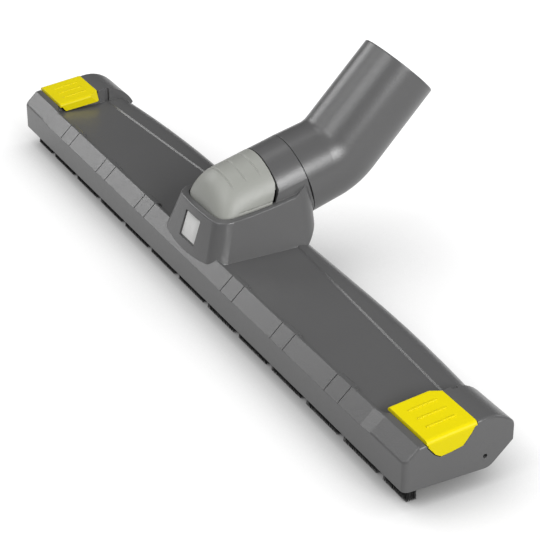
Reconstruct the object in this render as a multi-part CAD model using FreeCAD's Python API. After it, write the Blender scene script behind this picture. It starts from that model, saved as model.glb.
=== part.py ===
import FreeCAD, Part
import math
import os
from FreeCAD import Vector

# Floor head for a wet and dry vacuum cleaner, in millimetres.
# X runs along the head, -Y is its front, +Y its rear, and Z is up from the floor.
# The origin lies on the floor, under the middle of the front bristle strip.

# Body of the head
HEAD_LENGTH = 400.0
BODY_BOTTOM = 9.1
FRONT_Y = -8.0
BEVEL_FOOT_Z = 21.5
RIDGE_Y = -1.5
RIDGE_Z = 27.6
RIDGE_FLAT = 1.0
TRAY_Z = 25.4
REAR_LAND_Z = 26.1
REAR_Y = 51.1
REAR_STRAIGHT = 160.0
REAR_BOW = 8.6
REAR_ROLL_R = 10.0
REAR_CHAMFER = 6.2
CREASE_END_Y = 30.0
CREASE_MID_Y = 41.4
WALL = 2.5
CORNER_R = 2.5

# End blocks with their wheel arches
END_BLOCK_LENGTH = 25.8
END_BEVEL_RISE = 0.7
END_RAMP = 8.0
ARCH_SKIN = 2.5
UNDERCUT_ANGLE = 43.0
END_WALL = 3.8
EDGE_R = 1.4

# Wheels and their pins
AXLE_Y = 29.5
WHEEL_R = 14.9
WHEEL_WIDTH = 7.5
WHEEL_INSET = 11.1
WHEEL_ROOM = 0.6
TYRE_THICKNESS = 2.4
WHEEL_RIM = 1.8
HUB_R = 4.2
WEB_THICKNESS = 2.4
TREAD_EDGE = 0.8
AXLE_R = 1.0
RUNNING_CLEARANCE = 0.05
AXLE_RECESS = 1.4
FORK_WALL = 1.8
WHEEL_SIDE_GAP = 0.5
ARM_SLOT_WIDTH = 2.6
ARM_SLOT_DEPTH = 1.6

# Seams and lugs on the front bevel
SEAM_END = 31.7
SEAM_PAIRS = 3
SEAM_SPACING = 11.4
SEAM_WIDTH = 0.5
SEAM_DEPTH = 0.4
LUG_DEPTH = 2.6
LUG_STEP = 0.1
LUG_SHARES = (0.0, 0.4, 0.7, 0.9, 1.0)

# Tower that carries the neck
TOWER_FOOT_Z = 20.0
TOWER_TOP_Z = 56.0
TOWER_HALF_WIDTH = 28.9
TOWER_FRONT_Y = -7.3
TOWER_FRONT_LEAN = 18.1
TOWER_BULGE = 1.9
TOWER_CORNER_R = 8.0
TOWER_REAR_CORNER_R = 9.0
TOWER_REAR_LOW = (41.5, 20.0)
TOWER_REAR_MIDDLE = (52.6, 33.0)
TOWER_REAR_HIGH = (52.0, 46.0)
TOWER_WALL = 2.2
RIM_FRONT = (2.3, 43.4)
RIM_MIDDLE = (22.0, 45.2)
RIM_REAR = (43.0, 48.7)
RIM_END = (50.5, 54.5)
RIM_EDGE = 0.9
LEDGE_THICKNESS = 2.0
CAP_LEDGE = 1.3
CAP_SEAT_DEPTH = 3.2

# Badge window in the front of the tower
BADGE_WIDTH = 15.0
BADGE_HEIGHT = 12.8
BADGE_MIDDLE_Z = 33.5
BADGE_DEPTH = 1.1
BADGE_THICKNESS = 0.8
BADGE_GAP = 0.3
BADGE_CORNER_R = 0.6

# Neck and swivel
NECK_Y = 51.3
NECK_Z = 49.3
NECK_ANGLE = 15.9
COLLAR_R = 20.4
COLLAR_SIDE_CUT = 1.1
COLLAR_WALL = 2.2
COLLAR_FLANGE = 2.4
COLLAR_HOLLOW = 20.0
SEAM_GAP = 0.3
SPIGOT_STEP = 3.9
SPIGOT_WALL = 2.0
SPIGOT_LENGTH = 13.0
SPIGOT_CLEARANCE = 0.08
RING_START = 9.3
RING_THICKNESS = 2.0
RING_WIDTH = 2.0
RING_GROOVE_DEPTH = 0.9
RING_OPENING = 7.0
RING_ROOM = 0.3
SEAL_START = 0.8
SEAL_THICKNESS = 3.5
SEAL_WIDTH = 1.7
SEAL_LIP = 1.0

# Elbow
TUBE_STEP = 0.4
TUBE_WALL = 4.0
ELBOW_ANGLE = 46.5
ELBOW_BEND_R = 26.0
NECK_TO_BEND = 22.5
BEND_TO_MOUTH = 53.2
SOCKET_R = 17.5
SOCKET_WALL = 2.25
SOCKET_LENGTH = 40.0
MOUTH_EDGE = 0.7

# Tower cap
CAP_FRONT_Y = 3.8
CAP_FRONT_Z = 43.5
CAP_NOSE = 12.0
CAP_PLAN_POWER = 4.2
CAP_CROWN_POWER = 2.4
CAP_SHARES = (0.01, 0.03, 0.06, 0.1, 0.15, 0.21, 0.28, 0.36, 0.46, 0.58, 0.75, 1.0)
CAP_SKIRT_Z = 34.0
CAP_WALL = 2.0
CAP_SIDE_GAP = 0.4
CAP_REAR = ((30.0, 44.0), (33.3, 55.7), (31.4, 67.0))
COLLAR_FRONT = ((31.7, 44.0), (34.4, 52.6), (34.0, 56.2), (32.0, 67.0))
CAP_TONGUE = 3.0
CAP_TONGUE_WALL = 1.6
CAP_GROOVES = (12.8, 19.8, 26.8)
CAP_GROOVE_HALF = 12.5
CAP_GROOVE_WIDTH = 0.6
CAP_GROOVE_DEPTH = 0.5

# Release clips on the end blocks
CLIP_FRONT = (1.8, 30.2)
CLIP_REAR = (24.7, 32.9)
CLIP_PLATE = 1.8
CLIP_GAP = 0.45
CLIP_LIP = 3.2
CLIP_END_GAP = 0.3
CLIP_LIFT = 0.1
CLIP_TRAVEL = 3.0
CLIP_EDGE_R = 2.0
CLIP_ROLL = 1.4
CLIP_CORNER_DEPTH = 4.0
CLIP_CORNER_LENGTH = 5.7
CLIP_CORNER_FOOT = 1.0
CLIP_CORNER_BACKING = 0.8
SKIRT_WIDTH = 1.9
SKIRT_FRONT = (4.8, 25.9)
SKIRT_REAR_Z = 27.9
SKIRT_CLEARANCE = 0.3
CLIP_RIB_START = 7.6
CLIP_RIB_PITCH = 6.6
CLIP_RIB_COUNT = 3
CLIP_RIB_WIDTH = 0.8
CLIP_RIB_HEIGHT = 0.3
CLIP_RIB_INSET = 4.8
TONGUE_THICKNESS = 1.8
TONGUE_PROUD = 0.3
TONGUE_OUTLINE = ((2.5, 27.3), (5.9, 23.2), (8.5, 21.7), (13.3, 22.4), (18.5, 23.6), (22.2, 28.2))
LEG_GAP = 0.7
LEG_WIDTH = 5.0
LEG_THICKNESS = 2.4
LEG_INSET = 10.4
LEG_FOOT_Z = 9.9
TOE_LENGTH = 4.4
TOE_HEIGHT = 1.6
TAB_LAP = 1.8
TAB_THICKNESS = 2.0
TAB_LENGTH = 6.0

# Base plate and its screws
PLATE_Z = 15.0
PLATE_THICKNESS = 2.0
PLATE_REAR_INSET = 4.3
FIT_GAP = 0.3
MOUTH_REAR_Y = 20.4
LIP_HEIGHT = 2.6
LIP_THICKNESS = 1.6
SCREW_ROWS = (23.6, 39.4)
BAR_END = 9.2
SCREW_R = 1.5
SCREW_HEAD_R = 2.6
SCREW_HEAD = 1.6
SCREW_LENGTH = 7.0
SCREW_SLOT = 0.7
BOSS_R = 3.3
RIB_THICKNESS = 1.4
RIB_HEIGHT = 3.2

# Insert frame and bristle strips
FRAME_Z = 9.3
FRAME_HEIGHT = 5.4
RAIL_WIDTH = 9.2
FRONT_RAIL_INSET = 4.8
REAR_STRIP_Y = 31.2
REAR_RAIL_INSET = 4.2
REAR_TAB = 3.6
REAR_TAB_WIDTH = 4.0
REAR_TAB_HEIGHT = 2.2
CROSS_BAR = 3.6
CROSS_BAR_HEIGHT = 3.4
CROSS_BARS = 6
BRISTLE_THICKNESS = 3.4
BRISTLE_BULGE = 0.35
TUFT_PITCH = 3.846
END_SEGMENT = 18.0
SEGMENT_GAP = 4.75
FULL_SEGMENTS = 11
FRONT_STRIP_INSET = 0.6
REAR_STRIP_INSET = 2.0
BACK_Z = 11.0
BACK_WIDTH = 5.6
BACK_HEIGHT = 2.2
SLOT_GAP = 0.15

# Sizes that follow from the ones above
HALF = HEAD_LENGTH / 2
BLOCK_X = HALF - END_BLOCK_LENGTH
AXLE_Z = WHEEL_R
WHEEL_OUTER_X = HALF - WHEEL_INSET
WHEEL_INNER_X = WHEEL_OUTER_X - WHEEL_WIDTH
BAY_INNER_X = WHEEL_INNER_X - WHEEL_SIDE_GAP
BAY_OUTER_X = WHEEL_OUTER_X + WHEEL_SIDE_GAP
BAY_R = WHEEL_R + WHEEL_ROOM
ARCH_R = BAY_R + ARCH_SKIN
HOLLOW_X = HALF - END_WALL
SKIN_Z = TRAY_Z - WALL
WHEEL_MIDDLE_X = WHEEL_OUTER_X - WHEEL_WIDTH / 2
CLIP_INNER_X = BLOCK_X - CLIP_LIP
CLIP_OUTER_X = HALF + TONGUE_PROUD
LEG_OUTER_X = HALF - LEG_INSET
LEG_INNER_X = LEG_OUTER_X - LEG_THICKNESS
LEG_Y = AXLE_Y - ARCH_R - LEG_WIDTH - LEG_GAP
TOE_X = LEG_INNER_X - TOE_LENGTH
PLATE_TOP = PLATE_Z + PLATE_THICKNESS
LUG_CREST_Z = RIDGE_Z - LUG_STEP
SEAM_PITCH = (BLOCK_X - SEAM_END) / SEAM_PAIRS
SCREW_PITCH = 2 * (BLOCK_X - BAR_END) / (CROSS_BARS - 1)
FRONT_RAIL_LENGTH = HEAD_LENGTH - 2 * FRONT_RAIL_INSET
REAR_RAIL_LENGTH = 2 * (BLOCK_X - REAR_RAIL_INSET)
FRONT_STRIP_LENGTH = FRONT_RAIL_LENGTH - 2 * FRONT_STRIP_INSET
REAR_STRIP_LENGTH = REAR_RAIL_LENGTH - 2 * REAR_STRIP_INSET
SEGMENT_PITCH = (FRONT_STRIP_LENGTH - 2 * END_SEGMENT - SEGMENT_GAP) / FULL_SEGMENTS
COLLAR_FLAT = COLLAR_R - COLLAR_SIDE_CUT
TOWER_TOP_HALF_WIDTH = COLLAR_FLAT
SPIGOT_R = COLLAR_R - SPIGOT_STEP
SPIGOT_BORE_R = SPIGOT_R - SPIGOT_WALL
TUBE_R = COLLAR_R - TUBE_STEP
TUBE_END_R = SOCKET_R + SOCKET_WALL
DUCT_R = TUBE_R - TUBE_WALL
NECK_DIR = Vector(0, math.cos(math.radians(NECK_ANGLE)), math.sin(math.radians(NECK_ANGLE)))
NECK_UP = Vector(0, -NECK_DIR.z, NECK_DIR.y)
NECK = Vector(0, NECK_Y, NECK_Z)
TUBE_DIR = Vector(0, math.cos(math.radians(ELBOW_ANGLE)), math.sin(math.radians(ELBOW_ANGLE)))


def polygon(points):
    """Closed face through points."""
    return Part.Face(Part.makePolygon(list(points) + [points[0]]))


def along_x(outline, x0, x1):
    """Prism of a (y, z) outline between two stations of X."""
    face = polygon([Vector(x0, y, z) for y, z in outline])
    return face.extrude(Vector(x1 - x0, 0, 0))


def block(x0, x1, y0, y1, z0, z1):
    return Part.makeBox(x1 - x0, y1 - y0, z1 - z0, Vector(x0, y0, z0))


def cylinder_x(radius, x0, x1, y, z):
    return Part.makeCylinder(radius, x1 - x0, Vector(x0, y, z), Vector(1, 0, 0))


def mirrored(shape):
    """The same piece at the other end of the head."""
    return shape.mirror(Vector(0, 0, 0), Vector(1, 0, 0))


def both_ends(shape):
    return [shape, mirrored(shape)]


def rear_radius():
    """Radius of the arcs by which the rear wall draws in towards the ends."""
    run = HALF - REAR_STRAIGHT / 2
    return (run ** 2 + REAR_BOW ** 2) / (2 * REAR_BOW)


def rear_y(x, inset=0.0):
    """Y of the rear wall at a station of X, less an inset."""
    run = max(abs(x) - REAR_STRAIGHT / 2, 0.0)
    radius = rear_radius() - inset
    return REAR_Y - rear_radius() + math.sqrt(radius ** 2 - run ** 2)


def plan(front, half_length, inset, z):
    """Plan of the head: straight front and ends, and the bowed rear wall."""
    bend = REAR_STRAIGHT / 2
    middle = (bend + half_length) / 2

    def at(x):
        return Vector(x, rear_y(x, inset), z)

    corners = [Vector(-half_length, front, z), Vector(half_length, front, z)]
    edges = [Part.makeLine(*corners)]
    edges.append(Part.makeLine(corners[1], at(half_length)))
    edges.append(Part.Arc(at(half_length), at(middle), at(bend)).toShape())
    edges.append(Part.makeLine(at(bend), at(-bend)))
    edges.append(Part.Arc(at(-bend), at(-middle), at(-half_length)).toShape())
    edges.append(Part.makeLine(at(-half_length), corners[0]))
    return Part.Face(Part.Wire(edges))


def rear_edges(shape, z, front, half_length):
    """Edges of the bowed rear wall at one height."""
    found = []
    for edge in shape.Edges:
        centre = edge.CenterOfMass
        if abs(centre.z - z) > 0.01 or abs(edge.Vertexes[0].Z - z) > 0.01:
            continue
        if abs(centre.x) < half_length - 0.1 and centre.y > front + 1:
            found.append(edge)
    return found


def body_block(front, half_length, inset, bottom, top, roll, chamfer):
    """Bowed block with its rear top edge rolled over and its rear foot cut back."""
    shape = plan(front, half_length, inset, bottom).extrude(Vector(0, 0, top - bottom))
    shape = shape.makeFillet(roll, rear_edges(shape, top, front, half_length))
    return shape.makeChamfer(chamfer, rear_edges(shape, bottom, front, half_length))


def middle_outer():
    """Body between the end blocks, with its front bevel and sunk tray."""
    reach = BLOCK_X + 1
    shape = body_block(FRONT_Y, reach, 0, BODY_BOTTOM, REAR_LAND_Z, REAR_ROLL_R, REAR_CHAMFER)
    shape = shape.cut(along_x(bevel_cut(0), -HALF, HALF))
    ridge_rear = RIDGE_Y + RIDGE_FLAT
    ridge = along_x([(FRONT_Y, BEVEL_FOOT_Z), (RIDGE_Y, RIDGE_Z), (ridge_rear, RIDGE_Z),
                     (ridge_rear, TRAY_Z - 1), (FRONT_Y, BEVEL_FOOT_Z - 1)], -reach, reach)
    return shape.fuse(ridge).cut(tray(ridge_rear))


def bevel_slope():
    return (RIDGE_Z - BEVEL_FOOT_Z) / (RIDGE_Y - FRONT_Y)


def bevel_cut(rise):
    """Corner that the front bevel takes off, above its plane."""
    foot = BEVEL_FOOT_Z + rise
    run = 2 * (RIDGE_Y - FRONT_Y)
    return [(FRONT_Y - 1, foot - bevel_slope()), (FRONT_Y + run, foot + run * bevel_slope()),
            (FRONT_Y - 1, foot + run * bevel_slope())]


def tray(front):
    """Shallow tray in the top, its rear edge a bevelled step that runs back to the middle."""
    step = REAR_LAND_Z - TRAY_Z
    sections = []
    for spread, z in ((0.0, TRAY_Z), (step, REAR_LAND_Z), (step, RIDGE_Z + 1)):
        points = [Vector(-BLOCK_X, front, z), Vector(BLOCK_X, front, z),
                  Vector(BLOCK_X, CREASE_END_Y + spread, z), Vector(0, CREASE_MID_Y + spread, z),
                  Vector(-BLOCK_X, CREASE_END_Y + spread, z)]
        sections.append(Part.makePolygon(points + points[:1]))
    lower = Part.makeLoft(sections[:2], True, True)
    return lower.fuse(Part.makeLoft(sections[1:], True, True))


def block_top():
    """Front point of the end block's top, its slope, and where it meets the arch."""
    start = Vector(0, RIDGE_Y, RIDGE_Z + END_BEVEL_RISE)
    axle = Vector(0, AXLE_Y, AXLE_Z)
    to_axle = axle - start
    reach = math.sqrt(to_axle.Length ** 2 - ARCH_R ** 2)
    slope = math.atan2(to_axle.z, to_axle.y) + math.asin(ARCH_R / to_axle.Length)
    end = start + Vector(0, math.cos(slope), math.sin(slope)) * reach
    return start, slope, end


def round_axle(radius, degrees):
    """Point at an angle round the wheel axle, in the (y, z) plane."""
    angle = math.radians(degrees)
    return Vector(0, AXLE_Y + radius * math.cos(angle), AXLE_Z + radius * math.sin(angle))


def end_block():
    """Raised block at the +X end: front bevel, sloping top, wheel arch and undercut cheek."""
    start, slope, tangent = block_top()
    cheek = AXLE_Z - BODY_BOTTOM
    low = UNDERCUT_ANGLE - 90
    meet = math.degrees(math.acos(cheek / ARCH_R)) + low
    top_angle = math.degrees(slope) + 90
    points = [Vector(0, AXLE_Y, BODY_BOTTOM), Vector(0, FRONT_Y, BODY_BOTTOM),
              Vector(0, FRONT_Y, BEVEL_FOOT_Z + END_BEVEL_RISE), start, tangent]
    edges = [Part.makeLine(a, b) for a, b in zip(points, points[1:])]
    middle = round_axle(ARCH_R, (top_angle + meet) / 2)
    edges.append(Part.Arc(tangent, middle, round_axle(ARCH_R, meet)).toShape())
    edges.append(Part.makeLine(round_axle(ARCH_R, meet), round_axle(cheek, low)))
    edges.append(Part.Arc(round_axle(cheek, low), round_axle(cheek, (low - 90) / 2), points[0]).toShape())
    face = Part.Face(Part.Wire(edges))
    face.translate(Vector(BLOCK_X, 0, 0))
    shape = face.extrude(Vector(END_BLOCK_LENGTH, 0, 0))
    outline = plan(FRONT_Y - 1, HALF, 0, 0).extrude(Vector(0, 0, RIDGE_Z + ARCH_R))
    shape = shape.common(outline)
    corner = [e for e in shape.Edges if is_upright(e) and near(e, HALF, FRONT_Y)]
    shape = shape.makeFillet(CORNER_R, corner)
    crown = [e for e in shape.Edges if on_end_face(e) and e.CenterOfMass.z > BEVEL_FOOT_Z + 2]
    return shape.makeFillet(EDGE_R, crown)


def end_ramp():
    """Ramp by which the front bevel and its ridge rise to the +X end block."""
    start, slope, _ = block_top()
    crest = CLIP_FRONT[0] - CLIP_GAP
    low = TRAY_Z - WALL / 2
    rear = RIDGE_Y + RIDGE_FLAT
    high_end = [(FRONT_Y, BEVEL_FOOT_Z - 1), (FRONT_Y, BEVEL_FOOT_Z + END_BEVEL_RISE)]
    high_end += [(y, start.z + (y - start.y) * math.tan(slope)) for y in (RIDGE_Y, rear, crest)]
    high_end += [(crest, low), (RIDGE_Y, low)]
    low_end = [(FRONT_Y, BEVEL_FOOT_Z - 1), (FRONT_Y, BEVEL_FOOT_Z), (RIDGE_Y, RIDGE_Z), (rear, RIDGE_Z),
               (rear, TRAY_Z), (rear, low), (RIDGE_Y, low)]
    wires = []
    for outline, x in ((high_end, BLOCK_X), (low_end, BLOCK_X - END_RAMP)):
        points = [Vector(x, y, z) for y, z in outline]
        wires.append(Part.makePolygon(points + points[:1]))
    return Part.makeLoft(wires, True, True)


def is_upright(edge):
    a, b = edge.Vertexes[0].Point, edge.Vertexes[-1].Point
    return abs(a.x - b.x) < 0.01 and abs(a.y - b.y) < 0.01


def near(edge, x, y):
    centre = edge.CenterOfMass
    return abs(centre.x - x) < 0.01 and abs(centre.y - y) < 0.01


def on_end_face(edge):
    return all(abs(v.X - HALF) < 0.01 for v in edge.Vertexes) and not is_upright(edge)


def seam_stations():
    """Middles of the seam pairs; the tower takes the place of the one at the centre."""
    return [i * SEAM_PITCH for i in range(-SEAM_PAIRS, SEAM_PAIRS + 1) if i]


def seams():
    """Fine grooves that cross the front bevel in pairs."""
    grooves = []
    turn = math.degrees(math.atan(bevel_slope()))
    run = math.hypot(RIDGE_Y - FRONT_Y, RIDGE_Z - BEVEL_FOOT_Z)
    for centre in seam_stations():
        for side in (-0.5, 0.5):
            x = centre + side * SEAM_SPACING - SEAM_WIDTH / 2
            bar = Part.makeBox(SEAM_WIDTH, run, SEAM_DEPTH + 1, Vector(x, 0, -SEAM_DEPTH))
            bar.rotate(Vector(0, 0, 0), Vector(1, 0, 0), turn)
            bar.translate(Vector(0, FRONT_Y, BEVEL_FOOT_Z))
            grooves.append(bar)
    return grooves


def lugs():
    """Rounded lugs that run from the ridge down to the tray, one between the seams of each pair."""
    low = TRAY_Z - WALL / 2
    outline = [(RIDGE_Y, low), (RIDGE_Y, LUG_CREST_Z)]
    for share in LUG_SHARES:
        drop = (LUG_CREST_Z - TRAY_Z) * (1 - math.sqrt(1 - share ** 2))
        outline.append((RIDGE_Y + RIDGE_FLAT + LUG_DEPTH * share, LUG_CREST_Z - drop))
    outline.append((RIDGE_Y + RIDGE_FLAT + LUG_DEPTH, low))
    half = SEAM_SPACING / 2
    return [along_x(outline, centre - half, centre + half) for centre in seam_stations()]


def middle_hollow():
    """Air chamber under the tray, open below."""
    growth = WALL * (math.sqrt(2) - 1)
    shape = body_block(FRONT_Y + WALL, BLOCK_X - WALL, WALL, BODY_BOTTOM, SKIN_Z,
                       REAR_ROLL_R - WALL, REAR_CHAMFER + growth)
    drop = WALL * math.sqrt(1 + bevel_slope() ** 2)
    shape = shape.cut(along_x([(y, z - drop) for y, z in bevel_cut(0)], -HALF, HALF))
    below = plan(FRONT_Y + WALL, BLOCK_X - WALL, WALL + REAR_CHAMFER + growth, 0)
    return shape.fuse(below.extrude(Vector(0, 0, BODY_BOTTOM + 0.5)))


def clip_line(y, drop=0.0):
    """Height of the clip's top at a station of Y, less a drop."""
    slope = (CLIP_REAR[1] - CLIP_FRONT[1]) / (CLIP_REAR[0] - CLIP_FRONT[0])
    return CLIP_FRONT[1] + slope * (y - CLIP_FRONT[0]) - drop


def end_hollow():
    """Rooms under the +X end block: the clip's leg in front, the wheel and its pin behind."""
    front = FRONT_Y + WALL
    rear = AXLE_Y - ARCH_R
    floor = CLIP_PLATE + CLIP_LIFT + ARCH_SKIN
    leg_room = along_x([(front, BODY_BOTTOM - 1), (front, BEVEL_FOOT_Z - 1.5), (RIDGE_Y, SKIN_Z + 2),
                        (CLIP_FRONT[0], clip_line(CLIP_FRONT[0], floor)),
                        (rear, clip_line(rear, floor)), (rear, BODY_BOTTOM - 1)],
                       BLOCK_X + WALL, HOLLOW_X)
    passage = block(BLOCK_X - WALL - 1, BLOCK_X + WALL + 1, front, RAIL_WIDTH / 2 + FIT_GAP,
                    BODY_BOTTOM - 1, PLATE_Z)
    shaft = block(TOE_X - FIT_GAP, LEG_OUTER_X + CLIP_TRAVEL + FIT_GAP, LEG_Y - FIT_GAP,
                  LEG_Y + LEG_WIDTH + FIT_GAP, SKIN_Z, CLIP_REAR[1])
    bay = cylinder_x(BAY_R, BAY_INNER_X, BAY_OUTER_X, AXLE_Y, AXLE_Z)
    below = block(BAY_INNER_X, BAY_OUTER_X, AXLE_Y - BAY_R, AXLE_Y + BAY_R, -AXLE_Z, AXLE_Z)
    pocket = block(BAY_OUTER_X + FORK_WALL, HOLLOW_X, AXLE_Y - BAY_R, AXLE_Y - HUB_R - 1,
                   BODY_BOTTOM - 1, AXLE_Z + HUB_R)
    tab_room = block(BLOCK_X - WALL - 1, REAR_RAIL_LENGTH / 2 + REAR_TAB + FIT_GAP * 2,
                     REAR_STRIP_Y - REAR_TAB_WIDTH / 2 - FIT_GAP,
                     REAR_STRIP_Y + REAR_TAB_WIDTH / 2 + FIT_GAP, BODY_BOTTOM - 1,
                     FRAME_Z + FRAME_HEIGHT + FIT_GAP)
    pin_hole = cylinder_x(AXLE_R, BLOCK_X + WALL, HALF + 1, AXLE_Y, AXLE_Z)
    slot = block(BLOCK_X - 1, BLOCK_X + ARM_SLOT_DEPTH, AXLE_Y - ARM_SLOT_WIDTH / 2 + 1,
                 AXLE_Y + ARM_SLOT_WIDTH / 2 + 1, TRAY_Z, AXLE_Z + ARCH_R + 1)
    return [leg_room, passage, shaft, bay, below, pocket, tab_room, pin_hole, slot]


def tongue_face(x, spread):
    """Shield outline of the clip's tongue on the end face, grown by a spread."""
    y0, y1 = CLIP_FRONT[0], CLIP_REAR[0]
    points = [Vector(x, y0, clip_line(y0))]
    points += [Vector(x, y, z) for y, z in TONGUE_OUTLINE]
    points.append(Vector(x, y1, clip_line(y1)))
    face = polygon(points)
    if spread:
        face = Part.Face(face.makeOffset2D(spread, 2).OuterWire)
    return face


def skirt_outline(gap, below):
    """Side view of the clip's skirt, with a gap in front and behind it and room below it."""
    y0, y1 = CLIP_FRONT[0] - gap, CLIP_REAR[0] + gap
    return [(y0, clip_line(y0)), (SKIRT_FRONT[0] - gap, SKIRT_FRONT[1] - below),
            (y1, SKIRT_REAR_Z - below), (y1, clip_line(y1))]


def skirt_solid(gap, below, before, beyond):
    """The clip's skirt and the block behind its slanted corner, grown for the room round them."""
    outline = skirt_outline(gap, below)
    skirt = along_x(outline, CLIP_INNER_X - before, CLIP_INNER_X + SKIRT_WIDTH + beyond)
    backing = along_x(outline, CLIP_INNER_X - before,
                      CLIP_INNER_X + CLIP_CORNER_DEPTH + CLIP_CORNER_BACKING + beyond)
    front = CLIP_REAR[0] - CLIP_CORNER_LENGTH - CLIP_CORNER_BACKING - gap
    return skirt.fuse(backing.common(block(0, HALF, front, HALF, 0, HALF)))


def clip_recess():
    """Room for the +X clip over its travel: top, inner wall and end face."""
    y0 = CLIP_FRONT[0] - CLIP_GAP
    y1 = CLIP_REAR[0] + CLIP_GAP
    floor = CLIP_PLATE + CLIP_LIFT
    top = along_x([(y0, clip_line(y0, floor)), (y1, clip_line(y1, floor)), (y1, HALF), (y0, HALF)],
                  BLOCK_X - 1, HALF + 1)
    reach = CLIP_TRAVEL + SKIRT_CLEARANCE
    skirt_room = skirt_solid(CLIP_GAP, SKIRT_CLEARANCE, 1, reach)
    depth = TONGUE_THICKNESS - TONGUE_PROUD + CLIP_END_GAP
    tongue_room = tongue_face(HALF - depth, CLIP_GAP).extrude(Vector(depth + 1, 0, 0))
    return [top, skirt_room, tongue_room]


def clip_corner():
    """Corner that a slanting plane takes off the clip's lip at its rear."""
    x, y = CLIP_INNER_X, CLIP_REAR[0]
    start = Vector(x, y - CLIP_CORNER_LENGTH, clip_line(y - CLIP_CORNER_LENGTH))
    end = Vector(x + CLIP_CORNER_DEPTH, y, CLIP_REAR[1])
    foot = Vector(x + CLIP_CORNER_FOOT, y, SKIRT_REAR_Z)
    middle = (start + end + foot) / 3
    face = polygon([middle + (point - middle) * 4 for point in (start, end, foot)])
    outward = (end - start).cross(foot - start).normalize()
    return face.extrude(outward * CLIP_OUTER_X)


def clip_top_edge(shape, x):
    """Edge of the clip's top at a station of X."""
    return [e for e in shape.Edges if all(abs(v.X - x) < 0.01 for v in e.Vertexes)
            and abs(e.CenterOfMass.z - clip_line(e.CenterOfMass.y)) < 0.01]


def clip():
    """Release clip at the +X end: plate, tongue, inner skirt, grip ribs, leg and toe."""
    y0, y1 = CLIP_FRONT[0], CLIP_REAR[0]
    plate = along_x([(y0, clip_line(y0, CLIP_PLATE)), (y1, clip_line(y1, CLIP_PLATE)),
                     (y1, clip_line(y1)), (y0, clip_line(y0))], CLIP_INNER_X, CLIP_OUTER_X)
    tongue = tongue_face(CLIP_OUTER_X - TONGUE_THICKNESS, 0)
    tongue = tongue.extrude(Vector(TONGUE_THICKNESS, 0, 0))
    body = plate.fuse([tongue, skirt_solid(0, 0, 0, 0)]).removeSplitter()
    body = body.makeFillet(CLIP_EDGE_R, clip_top_edge(body, CLIP_OUTER_X))
    body = body.makeFillet(CLIP_ROLL, clip_top_edge(body, CLIP_INNER_X)).cut(clip_corner())
    ribs = []
    for i in range(CLIP_RIB_COUNT):
        x = CLIP_INNER_X + CLIP_RIB_START + i * CLIP_RIB_PITCH
        ends = (y0 + CLIP_RIB_INSET, y1 - CLIP_RIB_INSET)
        ribs.append(along_x([(y, clip_line(y, 0.5)) for y in ends]
                            + [(y, clip_line(y, -CLIP_RIB_HEIGHT)) for y in reversed(ends)],
                            x - CLIP_RIB_WIDTH / 2, x + CLIP_RIB_WIDTH / 2))
    leg = block(LEG_INNER_X, LEG_OUTER_X, LEG_Y, LEG_Y + LEG_WIDTH, LEG_FOOT_Z,
                clip_line(LEG_Y, CLIP_PLATE / 2))
    toe = Part.Face(Part.makePolygon([
        Vector(LEG_INNER_X + 1, LEG_Y, LEG_FOOT_Z), Vector(TOE_X + TOE_HEIGHT, LEG_Y, LEG_FOOT_Z),
        Vector(TOE_X, LEG_Y, LEG_FOOT_Z + TOE_HEIGHT),
        Vector(LEG_INNER_X + 1, LEG_Y, LEG_FOOT_Z + TOE_HEIGHT),
        Vector(LEG_INNER_X + 1, LEG_Y, LEG_FOOT_Z)])).extrude(Vector(0, LEG_WIDTH, 0))
    return body.fuse(ribs + [leg, toe]).removeSplitter()


def tower_wire(z, inset):
    """Plan of the tower at one height: bowed front, drafted cheeks, straight rear."""
    share = (z - TOWER_FOOT_Z) / (TOWER_TOP_Z - TOWER_FOOT_Z)
    half = TOWER_HALF_WIDTH + share * (TOWER_TOP_HALF_WIDTH - TOWER_HALF_WIDTH) - inset
    front = tower_front(z) + inset
    rear = TOWER_REAR_MIDDLE[0] - inset + 1
    shoulder = front + TOWER_BULGE
    left, right = Vector(-half, shoulder, z), Vector(half, shoulder, z)
    edges = [Part.Arc(left, Vector(0, front, z), right).toShape()]
    edges.append(Part.makeLine(right, Vector(half, rear, z)))
    edges.append(Part.makeLine(Vector(half, rear, z), Vector(-half, rear, z)))
    edges.append(Part.makeLine(Vector(-half, rear, z), left))
    return Part.Wire(edges)


def tower_front(z):
    return TOWER_FRONT_Y + (z - TOWER_FOOT_Z) * math.tan(math.radians(TOWER_FRONT_LEAN))


def above_rim(drop):
    """Everything above the rim's curve, lowered by a drop."""
    def point(y, z):
        return Vector(-HALF, y, z - drop)

    first, last = point(*RIM_FRONT), point(*RIM_REAR)
    start = point(-HALF, RIM_FRONT[1])
    end = point(*RIM_END)
    edges = [Part.makeLine(start, first), Part.Arc(first, point(*RIM_MIDDLE), last).toShape(),
             Part.makeLine(last, end), Part.makeLine(end, point(end.y, HALF)),
             Part.makeLine(point(end.y, HALF), point(start.y, HALF)),
             Part.makeLine(point(start.y, HALF), start)]
    return Part.Face(Part.Wire(edges)).extrude(Vector(HEAD_LENGTH, 0, 0))


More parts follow.
